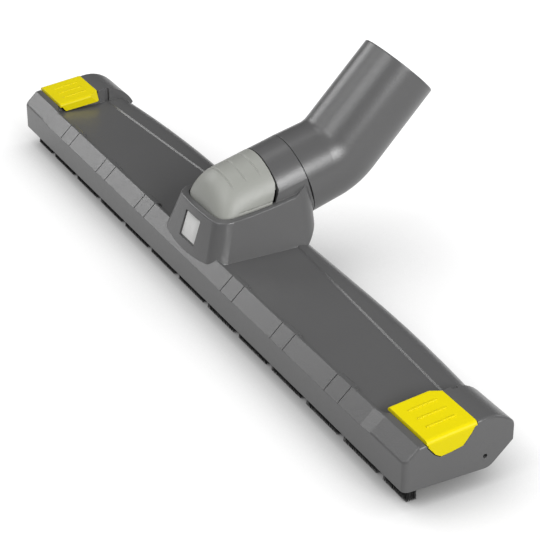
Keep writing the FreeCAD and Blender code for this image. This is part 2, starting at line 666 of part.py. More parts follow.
def tower_solid(inset, drop):
    """Tower up to the rim, with a wall thickness taken off all round."""
    shape = Part.makeLoft([tower_wire(TOWER_FOOT_Z, inset), tower_wire(TOWER_TOP_Z, inset)], True, True)
    front = [e for e in shape.Edges if rises(e) and e.CenterOfMass.y < NECK_Y / 2]
    shape = shape.makeFillet(TOWER_CORNER_R - inset, front)
    rear = [e for e in shape.Edges if rises(e) and e.CenterOfMass.y > NECK_Y / 2]
    shape = shape.makeFillet(TOWER_REAR_CORNER_R - inset, rear)
    profile = [(y - inset, z) for y, z in (TOWER_REAR_LOW, TOWER_REAR_MIDDLE, TOWER_REAR_HIGH)]
    low, high = profile[0][0], profile[-1][0]
    behind = along_x([(low, 0)] + profile + [(high, HALF), (HALF, HALF), (HALF, 0)], -HALF, HALF)
    return shape.cut(behind).cut(above_rim(drop))


def rim_edges(shape):
    """Outer edges of the rim, on the tower's front and cheeks."""
    top = above_rim(0)
    found = []
    for edge in shape.Edges:
        middle = edge.valueAt((edge.FirstParameter + edge.LastParameter) / 2)
        if middle.y < RIM_REAR[0] and top.distToShape(Part.Vertex(middle))[0] < 0.01:
            found.append(edge)
    return found


def rises(edge):
    ends = [v.Point for v in edge.Vertexes]
    return len(ends) == 2 and abs(ends[0].z - ends[1].z) > (TOWER_TOP_Z - TOWER_FOOT_Z) / 2


def neck_at(distance):
    """Point on the neck's axis, measured from the swivel seam."""
    return NECK + NECK_DIR * distance


def neck_cylinder(radius, start, end):
    return Part.makeCylinder(radius, end - start, neck_at(start), NECK_DIR)


def in_front_of(edge_line, shift=0.0):
    """Everything in front of a line in the (y, z) plane, moved back by a shift."""
    outline = [(y + shift, z) for y, z in edge_line]
    low, high = outline[0][0], outline[-1][0]
    return along_x([(low, 0)] + outline + [(high, HALF), (-HALF, HALF), (-HALF, 0)], -HALF, HALF)


def collar():
    """Neck collar with flat sides, from the cap's slot to the swivel seam."""
    shape = neck_cylinder(COLLAR_R, -NECK_Y, -SEAM_GAP / 2)
    flats = block(-COLLAR_FLAT, COLLAR_FLAT, -HALF, HALF, 0, HALF)
    shape = shape.common(flats)
    return shape.cut(in_front_of(COLLAR_FRONT))


def nose(share, power):
    """Superellipse that rounds the cap's nose: 0 at its tip, 1 where the straight part starts."""
    return (1 - (1 - share) ** power) ** (1 / power)


def cap_arch(y, share, inset):
    """Cross section of the cap: upright sides and an arch, with a wall taken off."""
    ridge = NECK_Z + (y - NECK_Y) * NECK_DIR.z / NECK_DIR.y + COLLAR_R / NECK_DIR.y
    shoulder = math.sqrt(COLLAR_R ** 2 - COLLAR_FLAT ** 2)
    straight = ridge - (COLLAR_R - shoulder) / NECK_DIR.y
    half = COLLAR_FLAT * nose(share, CAP_PLAN_POWER) - inset
    crown = CAP_FRONT_Z + (ridge - CAP_FRONT_Z) * nose(share, CAP_CROWN_POWER) - inset
    spring = CAP_FRONT_Z + (straight - CAP_FRONT_Z) * share - inset
    left, right = Vector(-half, y, spring), Vector(half, y, spring)
    foot_left, foot_right = Vector(-half, y, CAP_SKIRT_Z), Vector(half, y, CAP_SKIRT_Z)
    return Part.Wire([Part.makeLine(foot_left, left), Part.Arc(left, Vector(0, y, crown), right).toShape(),
                      Part.makeLine(right, foot_right), Part.makeLine(foot_right, foot_left)])


def cap_body(inset):
    """Domed cap as a loft of arches, with a wall taken off all round."""
    wires = [cap_arch(CAP_FRONT_Y + inset + (CAP_NOSE - inset) * share, share, inset)
             for share in CAP_SHARES]
    wires.append(cap_arch(CAP_REAR[1][0] + 1, CAP_SHARES[-1], inset))
    return Part.makeLoft(wires, True, True)


def cap_plan(spread):
    """Plan of the cap's skirt as a prism, grown by a spread."""
    rear = CAP_REAR[1][0] + 1
    points = []
    for share in CAP_SHARES:
        half = COLLAR_FLAT * nose(share, CAP_PLAN_POWER)
        points.append(Vector(half + spread, CAP_FRONT_Y + CAP_NOSE * share - spread, 0))
    points.append(Vector(COLLAR_FLAT + spread, rear, 0))
    points += [Vector(-p.x, p.y, 0) for p in reversed(points)]
    return polygon(points).extrude(Vector(0, 0, HALF))


def housing():
    """Body, end blocks, tower and neck collar as one moulding, open below."""
    ends = both_ends(end_block()) + both_ends(end_ramp())
    tower = tower_solid(0, 0)
    tower = tower.makeFillet(RIM_EDGE, rim_edges(tower))
    tower = tower.cut(neck_cylinder(COLLAR_R + TOWER_CORNER_R, -SEAM_GAP / 2, NECK_Y))
    shape = middle_outer().fuse(lugs() + ends + [tower, collar()])
    shape = shape.cut(seams())
    hollows = [middle_hollow()]
    for part in end_hollow() + clip_recess():
        hollows += both_ends(part)
    lower = CAP_SEAT_DEPTH + LEDGE_THICKNESS
    hollows.append(tower_solid(TOWER_WALL, lower))
    hollows.append(cap_plan(-CAP_LEDGE).common(above_rim(lower + 1)).cut(above_rim(CAP_SEAT_DEPTH - 1)))
    hollows.append(cap_plan(CAP_SIDE_GAP).common(above_rim(CAP_SEAT_DEPTH)).common(in_front_of(CAP_REAR)))
    hollows.append(neck_cylinder(COLLAR_R - COLLAR_WALL, -COLLAR_HOLLOW, -COLLAR_FLANGE))
    hollows.append(neck_cylinder(SPIGOT_BORE_R, -COLLAR_HOLLOW, 0))
    shape = shape.cut(hollows)
    inside = []
    for x in screw_stations():
        for y in SCREW_ROWS:
            inside.append(Part.makeCylinder(BOSS_R, SKIN_Z + 0.5 - PLATE_TOP, Vector(x, y, PLATE_TOP)))
    for x in bar_stations():
        if abs(x) > TOWER_HALF_WIDTH:
            inside.append(block(x - RIB_THICKNESS / 2, x + RIB_THICKNESS / 2, FRONT_Y + WALL - 0.5,
                                rear_y(x) - REAR_ROLL_R, SKIN_Z - RIB_HEIGHT, SKIN_Z + 0.5))
    ribs_room = middle_outer()
    inside = [piece.common(ribs_room) for piece in inside]
    spigot = neck_cylinder(SPIGOT_R, -COLLAR_FLANGE, SPIGOT_LENGTH)
    groove = neck_cylinder(SPIGOT_R + 1, RING_START, RING_START + RING_THICKNESS)
    groove = groove.cut(neck_cylinder(SPIGOT_R - RING_GROOVE_DEPTH, 0, SPIGOT_LENGTH))
    spigot = spigot.cut([groove, neck_cylinder(SPIGOT_BORE_R, -COLLAR_HOLLOW, SPIGOT_LENGTH + 1)])
    shape = shape.fuse(inside + [spigot])
    holes = [badge_box(BADGE_WIDTH, BADGE_HEIGHT, -BADGE_DEPTH, 2)]
    for x in screw_stations():
        for y in SCREW_ROWS:
            holes.append(Part.makeCylinder(SCREW_R, SCREW_LENGTH, Vector(x, y, PLATE_Z)))
    return shape.cut(holes)


def badge_box(width, height, start, end):
    """Box on the tower's leaning front, between two depths along its normal."""
    lean = math.radians(TOWER_FRONT_LEAN)
    box = Part.makeBox(width, height, end - start, Vector(-width / 2, -height / 2, start))
    box = box.makeFillet(BADGE_CORNER_R, [e for e in box.Edges if is_upright(e)])
    box.rotate(Vector(0, 0, 0), Vector(1, 0, 0), 90 - math.degrees(lean))
    box.translate(Vector(0, tower_front(BADGE_MIDDLE_Z), BADGE_MIDDLE_Z))
    return box


def badge_plate():
    gap = 2 * BADGE_GAP
    return badge_box(BADGE_WIDTH - gap, BADGE_HEIGHT - gap, -BADGE_DEPTH, BADGE_THICKNESS - BADGE_DEPTH)


def tower_cap():
    """Domed cover of the tower: skirt, arch, cross grooves and the tongue under the collar."""
    shape = cap_body(0).common(above_rim(CAP_SEAT_DEPTH)).common(in_front_of(CAP_REAR))
    shape = shape.cut(cap_body(CAP_WALL))
    x = CAP_GROOVE_HALF
    for y in CAP_GROOVES:
        place = (y - NECK_Y) / NECK_DIR.y + COLLAR_R * NECK_DIR.z / NECK_DIR.y
        ring = neck_cylinder(COLLAR_R + 1, place, place + CAP_GROOVE_WIDTH)
        ring = ring.cut(neck_cylinder(COLLAR_R - CAP_GROOVE_DEPTH, place - 1, place + CAP_GROOVE_WIDTH + 1))
        shape = shape.cut(ring.common(block(-x, x, -HALF, HALF, neck_at(place).z, HALF)))
    outer = COLLAR_R - COLLAR_WALL - CAP_SIDE_GAP
    tongue = neck_cylinder(outer, -NECK_Y, 0).common(in_front_of(COLLAR_FRONT, CAP_TONGUE))
    root = neck_cylinder(COLLAR_R - CAP_WALL / 2, -NECK_Y, 0).common(in_front_of(CAP_REAR))
    root = root.common(block(-COLLAR_FLAT + 1, COLLAR_FLAT - 1, -HALF, HALF, 0, HALF))
    tongue = tongue.fuse(root).cut(neck_cylinder(outer - CAP_TONGUE_WALL, -NECK_Y, 0))
    tongue = tongue.cut(in_front_of(CAP_REAR, -CAP_TONGUE))
    tongue = tongue.common(block(-HALF, HALF, -HALF, HALF, CAP_REAR[1][1], HALF))
    return shape.fuse(tongue).removeSplitter()


def bend(radius):
    """Curved part of the elbow as a solid bar of one radius."""
    turn = ELBOW_ANGLE - NECK_ANGLE
    tangent = ELBOW_BEND_R * math.tan(math.radians(turn / 2))
    start = neck_at(NECK_TO_BEND - tangent)
    circle = Part.Face(Part.Wire(Part.makeCircle(radius, start, NECK_DIR)))
    return circle.revolve(start + NECK_UP * ELBOW_BEND_R, Vector(1, 0, 0), turn)


def elbow():
    """Elbow tube: bearing and seal room at the swivel, bend, and the socket for the wand."""
    turn = ELBOW_ANGLE - NECK_ANGLE
    tangent = ELBOW_BEND_R * math.tan(math.radians(turn / 2))
    first = NECK_TO_BEND - tangent
    corner = neck_at(NECK_TO_BEND)
    straight = BEND_TO_MOUTH - tangent
    lower = Part.makeCone(COLLAR_R, TUBE_R, first - SEAM_GAP / 2, neck_at(SEAM_GAP / 2), NECK_DIR)
    upper = Part.makeCone(TUBE_R, TUBE_END_R, straight, corner + TUBE_DIR * tangent, TUBE_DIR)
    shape = lower.fuse([bend(TUBE_R), upper])
    mouth = [e for e in shape.Edges if (e.CenterOfMass - corner - TUBE_DIR * BEND_TO_MOUTH).Length < 0.1]
    shape = shape.makeFillet(MOUTH_EDGE, mouth)
    bearing = SEAL_START + SEAL_THICKNESS + 0.2
    ring_room = RING_START - RING_ROOM
    hollows = [neck_cylinder(seal_outer() + 0.05, 0, bearing),
               neck_cylinder(SPIGOT_R + SPIGOT_CLEARANCE, 0, ring_room),
               neck_cylinder(ring_outer() + RING_ROOM, ring_room, SPIGOT_LENGTH + 0.5),
               neck_cylinder(DUCT_R, SPIGOT_LENGTH, first), bend(DUCT_R),
               Part.makeCylinder(DUCT_R, straight, corner + TUBE_DIR * tangent, TUBE_DIR),
               Part.makeCylinder(SOCKET_R, SOCKET_LENGTH + 1,
                                 corner + TUBE_DIR * (BEND_TO_MOUTH - SOCKET_LENGTH), TUBE_DIR)]
    return shape.cut(hollows)


def seal_outer():
    return SPIGOT_R + SPIGOT_CLEARANCE + SEAL_WIDTH


def ring_outer():
    return SPIGOT_R - RING_GROOVE_DEPTH + RING_WIDTH


def swivel_ring():
    """Open snap ring in the spigot's groove."""
    end = RING_START + RING_THICKNESS
    ring = neck_cylinder(ring_outer(), RING_START, end)
    ring = ring.cut(neck_cylinder(SPIGOT_R - RING_GROOVE_DEPTH, RING_START - 1, end + 1))
    middle = neck_at(RING_START)
    gap = block(-RING_OPENING / 2, RING_OPENING / 2, middle.y - SPIGOT_R, middle.y + SPIGOT_R,
                0, middle.z)
    return ring.cut(gap)


def swivel_seal():
    """Lip seal between the spigot and the elbow."""
    end = SEAL_START + SEAL_THICKNESS
    inner = SPIGOT_R + SPIGOT_CLEARANCE
    seal = neck_cylinder(seal_outer(), SEAL_START, end).cut(neck_cylinder(inner, SEAL_START - 1, end + 1))
    pocket = neck_cylinder(inner + SEAL_LIP, SEAL_START - 1, SEAL_START + SEAL_THICKNESS / 2)
    return seal.cut(pocket)


def wheel_hub():
    """Wheel at the +X end: rim, web and hub on the pin."""
    rim_r = WHEEL_R - TYRE_THICKNESS
    shape = cylinder_x(rim_r, WHEEL_INNER_X, WHEEL_OUTER_X, AXLE_Y, AXLE_Z)
    ring = cylinder_x(rim_r - WHEEL_RIM, WHEEL_INNER_X - 1, WHEEL_OUTER_X + 1, AXLE_Y, AXLE_Z)
    ring = ring.cut(cylinder_x(HUB_R, WHEEL_INNER_X - 1, WHEEL_OUTER_X + 1, AXLE_Y, AXLE_Z))
    half = WEB_THICKNESS / 2
    web = cylinder_x(rim_r, WHEEL_MIDDLE_X - half, WHEEL_MIDDLE_X + half, AXLE_Y, AXLE_Z)
    shape = shape.cut(ring.cut(web))
    return shape.cut(cylinder_x(AXLE_R + RUNNING_CLEARANCE, 0, HALF, AXLE_Y, AXLE_Z))


def tyre():
    """Soft tread on the wheel's rim, its edges chamfered."""
    shape = cylinder_x(WHEEL_R, WHEEL_INNER_X, WHEEL_OUTER_X, AXLE_Y, AXLE_Z)
    shape = shape.makeChamfer(TREAD_EDGE, [e for e in shape.Edges if len(e.Vertexes) == 1])
    return shape.cut(cylinder_x(WHEEL_R - TYRE_THICKNESS, 0, HALF, AXLE_Y, AXLE_Z))


def axle():
    return cylinder_x(AXLE_R, BLOCK_X + WALL, HALF - AXLE_RECESS, AXLE_Y, AXLE_Z)


def screw_stations():
    return [i * SCREW_PITCH for i in (-2, -1, 1, 2)]


def bar_stations():
    return [(i - (CROSS_BARS - 1) / 2) * SCREW_PITCH for i in range(CROSS_BARS)]


def base_plate():
    """Screwed plate that closes the rear of the air chamber behind the mouth."""
    outline = plan(MOUTH_REAR_Y, BLOCK_X - WALL - FIT_GAP, PLATE_REAR_INSET, PLATE_Z)
    shape = outline.extrude(Vector(0, 0, PLATE_THICKNESS))
    reach = BLOCK_X - WALL - FIT_GAP
    lip = block(-reach, reach, MOUTH_REAR_Y, MOUTH_REAR_Y + LIP_THICKNESS, PLATE_TOP, PLATE_TOP + LIP_HEIGHT)
    cuts = []
    for x in screw_stations():
        lip = lip.cut(block(x - BOSS_R - FIT_GAP, x + BOSS_R + FIT_GAP, 0, HALF, PLATE_TOP, HALF))
        for y in SCREW_ROWS:
            cuts.append(Part.makeCylinder(SCREW_R + FIT_GAP, PLATE_THICKNESS + 2, Vector(x, y, PLATE_Z - 1)))
    rib_foot = SKIN_Z - RIB_HEIGHT - FIT_GAP
    for x in bar_stations():
        lip = lip.cut(block(x - RIB_THICKNESS, x + RIB_THICKNESS, 0, HALF, rib_foot, HALF))
    return shape.fuse(lip).cut(cuts)


def base_screws():
    """Eight pan-head screws with a cross recess."""
    made = []
    for x in screw_stations():
        for y in SCREW_ROWS:
            head = Part.makeCylinder(SCREW_HEAD_R, SCREW_HEAD, Vector(x, y, PLATE_Z - SCREW_HEAD))
            shank = Part.makeCylinder(SCREW_R, SCREW_LENGTH, Vector(x, y, PLATE_Z))
            arm = SCREW_HEAD_R * 0.6
            half = SCREW_SLOT / 2
            low = PLATE_Z - SCREW_HEAD
            cross = block(x - arm, x + arm, y - half, y + half, low - 1, low + SCREW_HEAD / 2)
            cross = cross.fuse(block(x - half, x + half, y - arm, y + arm, low - 1, low + SCREW_HEAD / 2))
            made.append(head.fuse(shank).cut(cross))
    return Part.makeCompound(made)


def rail(length, y):
    """Rail of the insert frame with its T slot for a strip."""
    half = length / 2
    shape = block(-half, half, y - RAIL_WIDTH / 2, y + RAIL_WIDTH / 2, FRAME_Z, FRAME_Z + FRAME_HEIGHT)
    wide = BACK_WIDTH / 2 + SLOT_GAP
    narrow = BRISTLE_THICKNESS / 2 + SLOT_GAP
    slot = block(-half, half, y - wide, y + wide, BACK_Z, BACK_Z + BACK_HEIGHT + SLOT_GAP)
    throat = block(-half, half, y - narrow, y + narrow, FRAME_Z, BACK_Z)
    return shape, slot.fuse(throat)


def insert_frame():
    """Removable frame: two slotted rails, cross bars, clip tabs in front, hook tabs behind."""
    front, front_slot = rail(FRONT_RAIL_LENGTH, 0)
    rear, rear_slot = rail(REAR_RAIL_LENGTH, REAR_STRIP_Y)
    pieces = [rear]
    for x in bar_stations():
        pieces.append(block(x - CROSS_BAR / 2, x + CROSS_BAR / 2, 0, REAR_STRIP_Y, FRAME_Z,
                            FRAME_Z + CROSS_BAR_HEIGHT))
    tab_x = TOE_X + TAB_LAP
    tab_z = LEG_FOOT_Z + TOE_HEIGHT + FIT_GAP
    tab = block(tab_x - TAB_LENGTH, tab_x, 0, LEG_Y + LEG_WIDTH, tab_z, tab_z + TAB_THICKNESS)
    top = FRAME_Z + FRAME_HEIGHT
    hook = block(REAR_RAIL_LENGTH / 2 - 3, REAR_RAIL_LENGTH / 2 + REAR_TAB,
                 REAR_STRIP_Y - REAR_TAB_WIDTH / 2, REAR_STRIP_Y + REAR_TAB_WIDTH / 2,
                 top - REAR_TAB_HEIGHT, top)
    pieces += both_ends(tab) + both_ends(hook)
    return front.fuse(pieces).cut([front_slot, rear_slot.common(
        block(-REAR_RAIL_LENGTH / 2, REAR_RAIL_LENGTH / 2, 0, HALF, 0, BACK_Z + BACK_HEIGHT + SLOT_GAP))])


def backing(length, y):
    half = length / 2
    return block(-half, half, y - BACK_WIDTH / 2, y + BACK_WIDTH / 2, BACK_Z, BACK_Z + BACK_HEIGHT)


def tufts(x0, x1, y):
    """Row of bristle tufts between two stations of X, its flanks scalloped tuft by tuft."""
    count = round((x1 - x0) / TUFT_PITCH)
    step = (x1 - x0) / count
    crest = BRISTLE_THICKNESS / 2
    valley = crest - BRISTLE_BULGE
    edges = []
    for side, order in ((-1, range(count)), (1, reversed(range(count)))):
        for i in order:
            a, b = (x0 + i * step, x0 + (i + 1) * step)
            if side > 0:
                a, b = b, a
            edges.append(Part.Arc(Vector(a, y + side * valley, 0), Vector((a + b) / 2, y + side * crest, 0),
                                  Vector(b, y + side * valley, 0)).toShape())
        end = x1 if side < 0 else x0
        edges.append(Part.makeLine(Vector(end, y + side * valley, 0), Vector(end, y - side * valley, 0)))
    return Part.Face(Part.Wire(edges)).extrude(Vector(0, 0, BACK_Z))


def front_bristles():
    """Front strip: eleven full segments and a short one at each end, with air gaps between."""
    length = SEGMENT_PITCH - SEGMENT_GAP
    made = []
    for i in range(FULL_SEGMENTS):
        middle = (i - (FULL_SEGMENTS - 1) / 2) * SEGMENT_PITCH
        made.append(tufts(middle - length / 2, middle + length / 2, 0))
    inner = FULL_SEGMENTS * SEGMENT_PITCH / 2 + SEGMENT_GAP / 2
    made += both_ends(tufts(inner, FRONT_STRIP_LENGTH / 2, 0))
    return Part.makeCompound(made)


def rear_bristles():
    return tufts(-REAR_STRIP_LENGTH / 2, REAR_STRIP_LENGTH / 2, REAR_STRIP_Y)


def write(name, shape):
    if not shape.isValid():
        raise ValueError(name + " is not a valid shape")
    shape.exportStep("parts/" + name + ".step")


def main():
    os.makedirs("parts", exist_ok=True)
    write("housing_shell", housing())
    write("tower_cap", tower_cap())
    write("badge_plate", badge_plate())
    write("elbow_tube", elbow())
    write("swivel_ring", swivel_ring())
    write("swivel_seal", swivel_seal())
    write("base_plate", base_plate())
    write("base_screws", base_screws())
    write("insert_frame", insert_frame())
    write("front_strip_backing", backing(FRONT_STRIP_LENGTH, 0))
    write("rear_strip_backing", backing(REAR_STRIP_LENGTH, REAR_STRIP_Y))
    write("front_bristles", front_bristles())
    write("rear_bristles", rear_bristles())
    for name, shape in (("clip", clip()), ("wheel_hub", wheel_hub()), ("wheel_tyre", tyre()),
                        ("wheel_axle", axle())):
        write(name + "_right", shape)
        write(name + "_left", mirrored(shape))


main()
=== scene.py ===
# %% [markdown]
# This lesson dresses a floor head for a vacuum cleaner: a long grey moulding with a tower in its
# middle, a light cap on the tower, a swivelling elbow, two yellow clips and two black bristle
# strips. The moulded parts come from a construction model as a frame that may not be moved. We
# could draw them again here, but two drawings of one part drift apart, and these already have the
# right sizes. Our work is the finishes, the pieces that need a finer mesh, the light and the
# camera. The lesson gives lengths on the head in millimetres, and MM turns them into metres.

# %% Load the frame of moulded parts
import math
import random

import bmesh
import bpy
from mathutils import Matrix, Vector


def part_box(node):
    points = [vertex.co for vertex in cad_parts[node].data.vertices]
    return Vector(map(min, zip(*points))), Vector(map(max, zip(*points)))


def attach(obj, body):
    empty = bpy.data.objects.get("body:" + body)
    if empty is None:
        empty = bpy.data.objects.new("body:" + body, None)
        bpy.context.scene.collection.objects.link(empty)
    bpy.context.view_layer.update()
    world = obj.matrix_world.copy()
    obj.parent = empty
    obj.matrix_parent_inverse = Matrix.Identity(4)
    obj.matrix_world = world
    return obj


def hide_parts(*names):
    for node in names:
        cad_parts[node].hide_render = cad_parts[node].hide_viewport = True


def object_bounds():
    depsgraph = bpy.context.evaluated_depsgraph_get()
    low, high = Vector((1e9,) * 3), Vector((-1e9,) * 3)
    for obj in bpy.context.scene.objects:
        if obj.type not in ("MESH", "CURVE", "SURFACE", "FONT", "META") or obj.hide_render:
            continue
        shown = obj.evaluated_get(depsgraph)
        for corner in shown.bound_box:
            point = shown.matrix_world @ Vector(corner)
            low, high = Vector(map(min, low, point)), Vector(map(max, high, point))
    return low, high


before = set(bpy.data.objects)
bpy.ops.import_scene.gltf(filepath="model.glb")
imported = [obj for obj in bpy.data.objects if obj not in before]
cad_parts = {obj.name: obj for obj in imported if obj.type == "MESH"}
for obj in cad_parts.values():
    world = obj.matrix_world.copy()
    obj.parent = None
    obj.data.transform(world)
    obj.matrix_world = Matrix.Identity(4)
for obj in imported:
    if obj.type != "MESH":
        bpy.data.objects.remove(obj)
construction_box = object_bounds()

MM = 0.001
print("parts in the frame:", len(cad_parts))
for corner in construction_box:
    print("corner of the box in mm:", [round(value / MM, 1) for value in corner])

# %% [markdown]
# A product picture of this kind is taken from above one end, with a long lens so that the far
# end does not shrink much. We could aim the camera with a Track To constraint at some point of
# the head. We give its direction by two angles instead, the turn round the head and the height
# above the floor, because the same two angles name any other view of the model. The small shift
# slides the frame without turning the camera, as a studio camera can.

# %% Stand the camera
CAMERA_TURN, CAMERA_HEIGHT, CAMERA_TILT = 61.73, 28.35, 0.15
CAMERA_PLACE = Vector((0.67931, -0.32130, 0.41588))
LENS_MM, FILM_WIDTH_MM = 119.84, 36.0
FRAME_SHIFT = (-0.0140, -0.0019)
NEAREST_SEEN, FARTHEST_SEEN = 0.05, 20.0


def bearing(turn, height):
    """Direction away from the head, at a turn from its front and a height above the floor."""
    return Vector((math.sin(turn) * math.cos(height), -math.cos(turn) * math.cos(height),
                   math.sin(height)))


def stand_camera(place, turn, height, tilt):
    """Camera at a place, looking down and round at the head by two angles."""
    lens = bpy.data.cameras.new("studio_lens")
    lens.lens, lens.sensor_width = LENS_MM, FILM_WIDTH_MM
    lens.shift_x, lens.shift_y = FRAME_SHIFT
    lens.clip_start, lens.clip_end = NEAREST_SEEN, FARTHEST_SEEN
    camera = bpy.data.objects.new("studio_camera", lens)
    bpy.context.scene.collection.objects.link(camera)
    back = bearing(turn, height)
    side = Vector((math.cos(turn), math.sin(turn), 0.0))
    upward = back.cross(side)
    axes = Matrix((side, upward, back)).transposed() @ Matrix.Rotation(tilt, 3, "Z")
    camera.matrix_world = Matrix.Translation(place) @ axes.to_4x4()
    bpy.context.scene.camera = camera


stand_camera(CAMERA_PLACE, math.radians(CAMERA_TURN), math.radians(CAMERA_HEIGHT),
             math.radians(CAMERA_TILT))
print("camera stands", round(CAMERA_PLACE.length, 3), "m from the head's front middle")

# %% [markdown]
# The floor is plain and pale, and only has to carry the soft shadow that makes the head stand on
# it. Lit white paper comes out light grey, and more light on it would bleach the head as well. So
# the sheet has two layers. One is lit by the lamps and takes their shadows. The other is a white
# of its own, which only the camera and the shiny surfaces see. An ambient occlusion node dims
# this white where the head is near, so the contact shadow there is painted shade, as daylight
# fades in the narrow space under an object.

# %% Lay the floor
FLOOR_SIZE, FLOOR_DROP = 6.0, 0.0004
LIT_WHITE, OWN_WHITE = 0.30, 0.88
SHADE_REACH, SHADE_DEPTH = 0.09, 1.3


def add_node(tree, kind, **inputs):
    """New shader node, with values for its inputs by name."""
    made = tree.nodes.new(kind)
    for name, value in inputs.items():
        made.inputs[name.replace("_", " ")].default_value = value
    return made


def seen_directly(tree):
    """One where a ray comes from the camera, a mirror-like surface or clear material."""
    path = tree.nodes.new("ShaderNodeLightPath")
    seen = path.outputs["Is Camera Ray"]
    for other in ("Is Glossy Ray", "Is Transmission Ray"):
        either = tree.nodes.new("ShaderNodeMath")
        either.operation = "MAXIMUM"
        tree.links.new(seen, either.inputs[0])
        tree.links.new(path.outputs[other], either.inputs[1])
        seen = either.outputs[0]
    return seen


def white_paper():
    """Floor finish: lit paper, and a white of its own with painted shade near the head."""
    paper = bpy.data.materials.new("white_paper")
    paper.use_nodes = True
    tree = paper.node_tree
    tree.nodes.clear()
    lit = add_node(tree, "ShaderNodeBsdfDiffuse", Color=(LIT_WHITE, LIT_WHITE, LIT_WHITE, 1))
    own = add_node(tree, "ShaderNodeEmission", Strength=OWN_WHITE)
    # painted shade: ambient occlusion darkens the floor's own white under and beside the head
    near = add_node(tree, "ShaderNodeAmbientOcclusion", Distance=SHADE_REACH)
    deeper = add_node(tree, "ShaderNodeGamma", Gamma=SHADE_DEPTH)
    tree.links.new(near.outputs["Color"], deeper.inputs["Color"])
    tree.links.new(deeper.outputs[0], own.inputs["Color"])
    none = add_node(tree, "ShaderNodeEmission", Strength=0.0)
    pick = tree.nodes.new("ShaderNodeMixShader")
    tree.links.new(seen_directly(tree), pick.inputs[0])
    tree.links.new(none.outputs[0], pick.inputs[1])
    tree.links.new(own.outputs[0], pick.inputs[2])
    both = tree.nodes.new("ShaderNodeAddShader")
    tree.links.new(lit.outputs[0], both.inputs[0])
    tree.links.new(pick.outputs[0], both.inputs[1])
    out = tree.nodes.new("ShaderNodeOutputMaterial")
    tree.links.new(both.outputs[0], out.inputs["Surface"])
    return paper


half_floor = FLOOR_SIZE / 2
sheet = bpy.data.meshes.new("floor_sheet")
sheet.from_pydata([(-half_floor, -half_floor, 0), (half_floor, -half_floor, 0),
                   (half_floor, half_floor, 0), (-half_floor, half_floor, 0)], [], [(0, 1, 2, 3)])
sheet.materials.append(white_paper())
floor = bpy.data.objects.new("floor_sheet", sheet)
bpy.context.scene.collection.objects.link(floor)
floor.location.z = -FLOOR_DROP
print("the floor is", FLOOR_SIZE, "m wide")

# %% [markdown]
# Behind the floor the picture is white too. That is the world, and a white world at full strength
# would also be the strongest lamp in the room and leave no shape on the head. The world therefore
# has two backgrounds and a Light Path node that picks one: plain white for the camera, and a dim
# white as a lamp, which fills the shadows from all round.

# %% Paint the world
WORLD_LEVEL = 0.07


def white_world():
    """World that looks white and lights the head softly from all round."""
    world = bpy.data.worlds.new("white_studio")
    bpy.context.scene.world = world
    world.use_nodes = True
    tree = world.node_tree
    tree.nodes.clear()
    light = add_node(tree, "ShaderNodeBackground", Strength=WORLD_LEVEL, Color=(1, 1, 1, 1))
    seen = add_node(tree, "ShaderNodeBackground", Strength=1.0, Color=(1, 1, 1, 1))
    path = tree.nodes.new("ShaderNodeLightPath")
    pick = tree.nodes.new("ShaderNodeMixShader")
    tree.links.new(path.outputs["Is Camera Ray"], pick.inputs[0])
    tree.links.new(light.outputs[0], pick.inputs[1])
    tree.links.new(seen.outputs[0], pick.inputs[2])
    out = tree.nodes.new("ShaderNodeOutputWorld")
    tree.links.new(pick.outputs[0], out.inputs["Surface"])


white_world()
print("the world gives", WORLD_LEVEL, "of a white room's light")

# %% [markdown]
# Grey plastic shows its shape by the light that slides along its edges, so the lamps are large
# softboxes, as a product photographer uses. A strong one at the right makes the end wall and the
# tube bright, weaker ones in front, at the left and above open the long front wall, the bevel and
# the top, and one behind keeps the rear from going black. Spot lamps would give hard shadows that
# the photograph does not have. Each lamp is placed by two angles, as the camera's direction is.
# The Standard view shows a colour as it is written.

# %% Hang the softboxes
AIM = Vector((0, 0.02, 0.04))
LAMP_DISTANCE, LAMP_TALL = 2.2, 0.8
# name, turn and height in degrees, width in metres, watts
LAMPS = (("right_softbox", 96, 28, 0.8, 36.0), ("front_softbox", 16, 50, 1.1, 14.0),
         ("left_softbox", -70, 26, 0.9, 10.5), ("left_front_softbox", -32, 44, 0.9, 5.0),
         ("top_softbox", -60, 72, 1.2, 6.0), ("rear_softbox", 185, 24, 1.6, 7.0))


def hang_softbox(name, turn, height, width, watts):
    """Large rectangular lamp on a bearing from the head, turned to look at it."""
    lamp = bpy.data.lights.new(name, "AREA")
    lamp.shape = "RECTANGLE"
    lamp.size, lamp.size_y = width, LAMP_TALL
    lamp.energy = watts
    softbox = bpy.data.objects.new(name, lamp)
    bpy.context.scene.collection.objects.link(softbox)
    place = AIM + bearing(math.radians(turn), math.radians(height)) * LAMP_DISTANCE
    softbox.location = place
    softbox.rotation_mode = "QUATERNION"
    softbox.rotation_quaternion = (AIM - place).to_track_quat("-Z", "Y")


for lamp_row in LAMPS:
    hang_softbox(*lamp_row)
bpy.context.scene.view_settings.view_transform = "Standard"
print("lamps hung:", len(LAMPS))

# %% [markdown]
# The head is moulded in plastic from a tool whose walls were lightly eroded by sparks. That leaves
# a fine, even grain that softens reflections, and the colour drifts very slightly where the
# plastic flowed. A photograph of plastic could be wrapped round the parts, but it would show its
# repeats and its stretched corners. We use noise textures in the part's own space, which have
# neither and stay on the part when it moves. The fine one drives a bump, the slow one the colour,
# and one between them the gloss. No moulded edge is knife sharp, so a Bevel node turns the light
# round the edges as a small radius would.

# %% A moulded finish
DRIFT_GRAIN_MM, DRIFT_DETAIL = 38.0, 3.0
GLOSS_GRAIN_MM, GLOSS_DETAIL, GLOSS_SPREAD = 2.2, 2.0, 0.05
SPARK_DETAIL, SPARK_DEPTH_MM, SPARK_STRENGTH = 1.0, 0.08, 0.45
EDGE_SAMPLES = 6
PLASTIC_IOR = 1.53


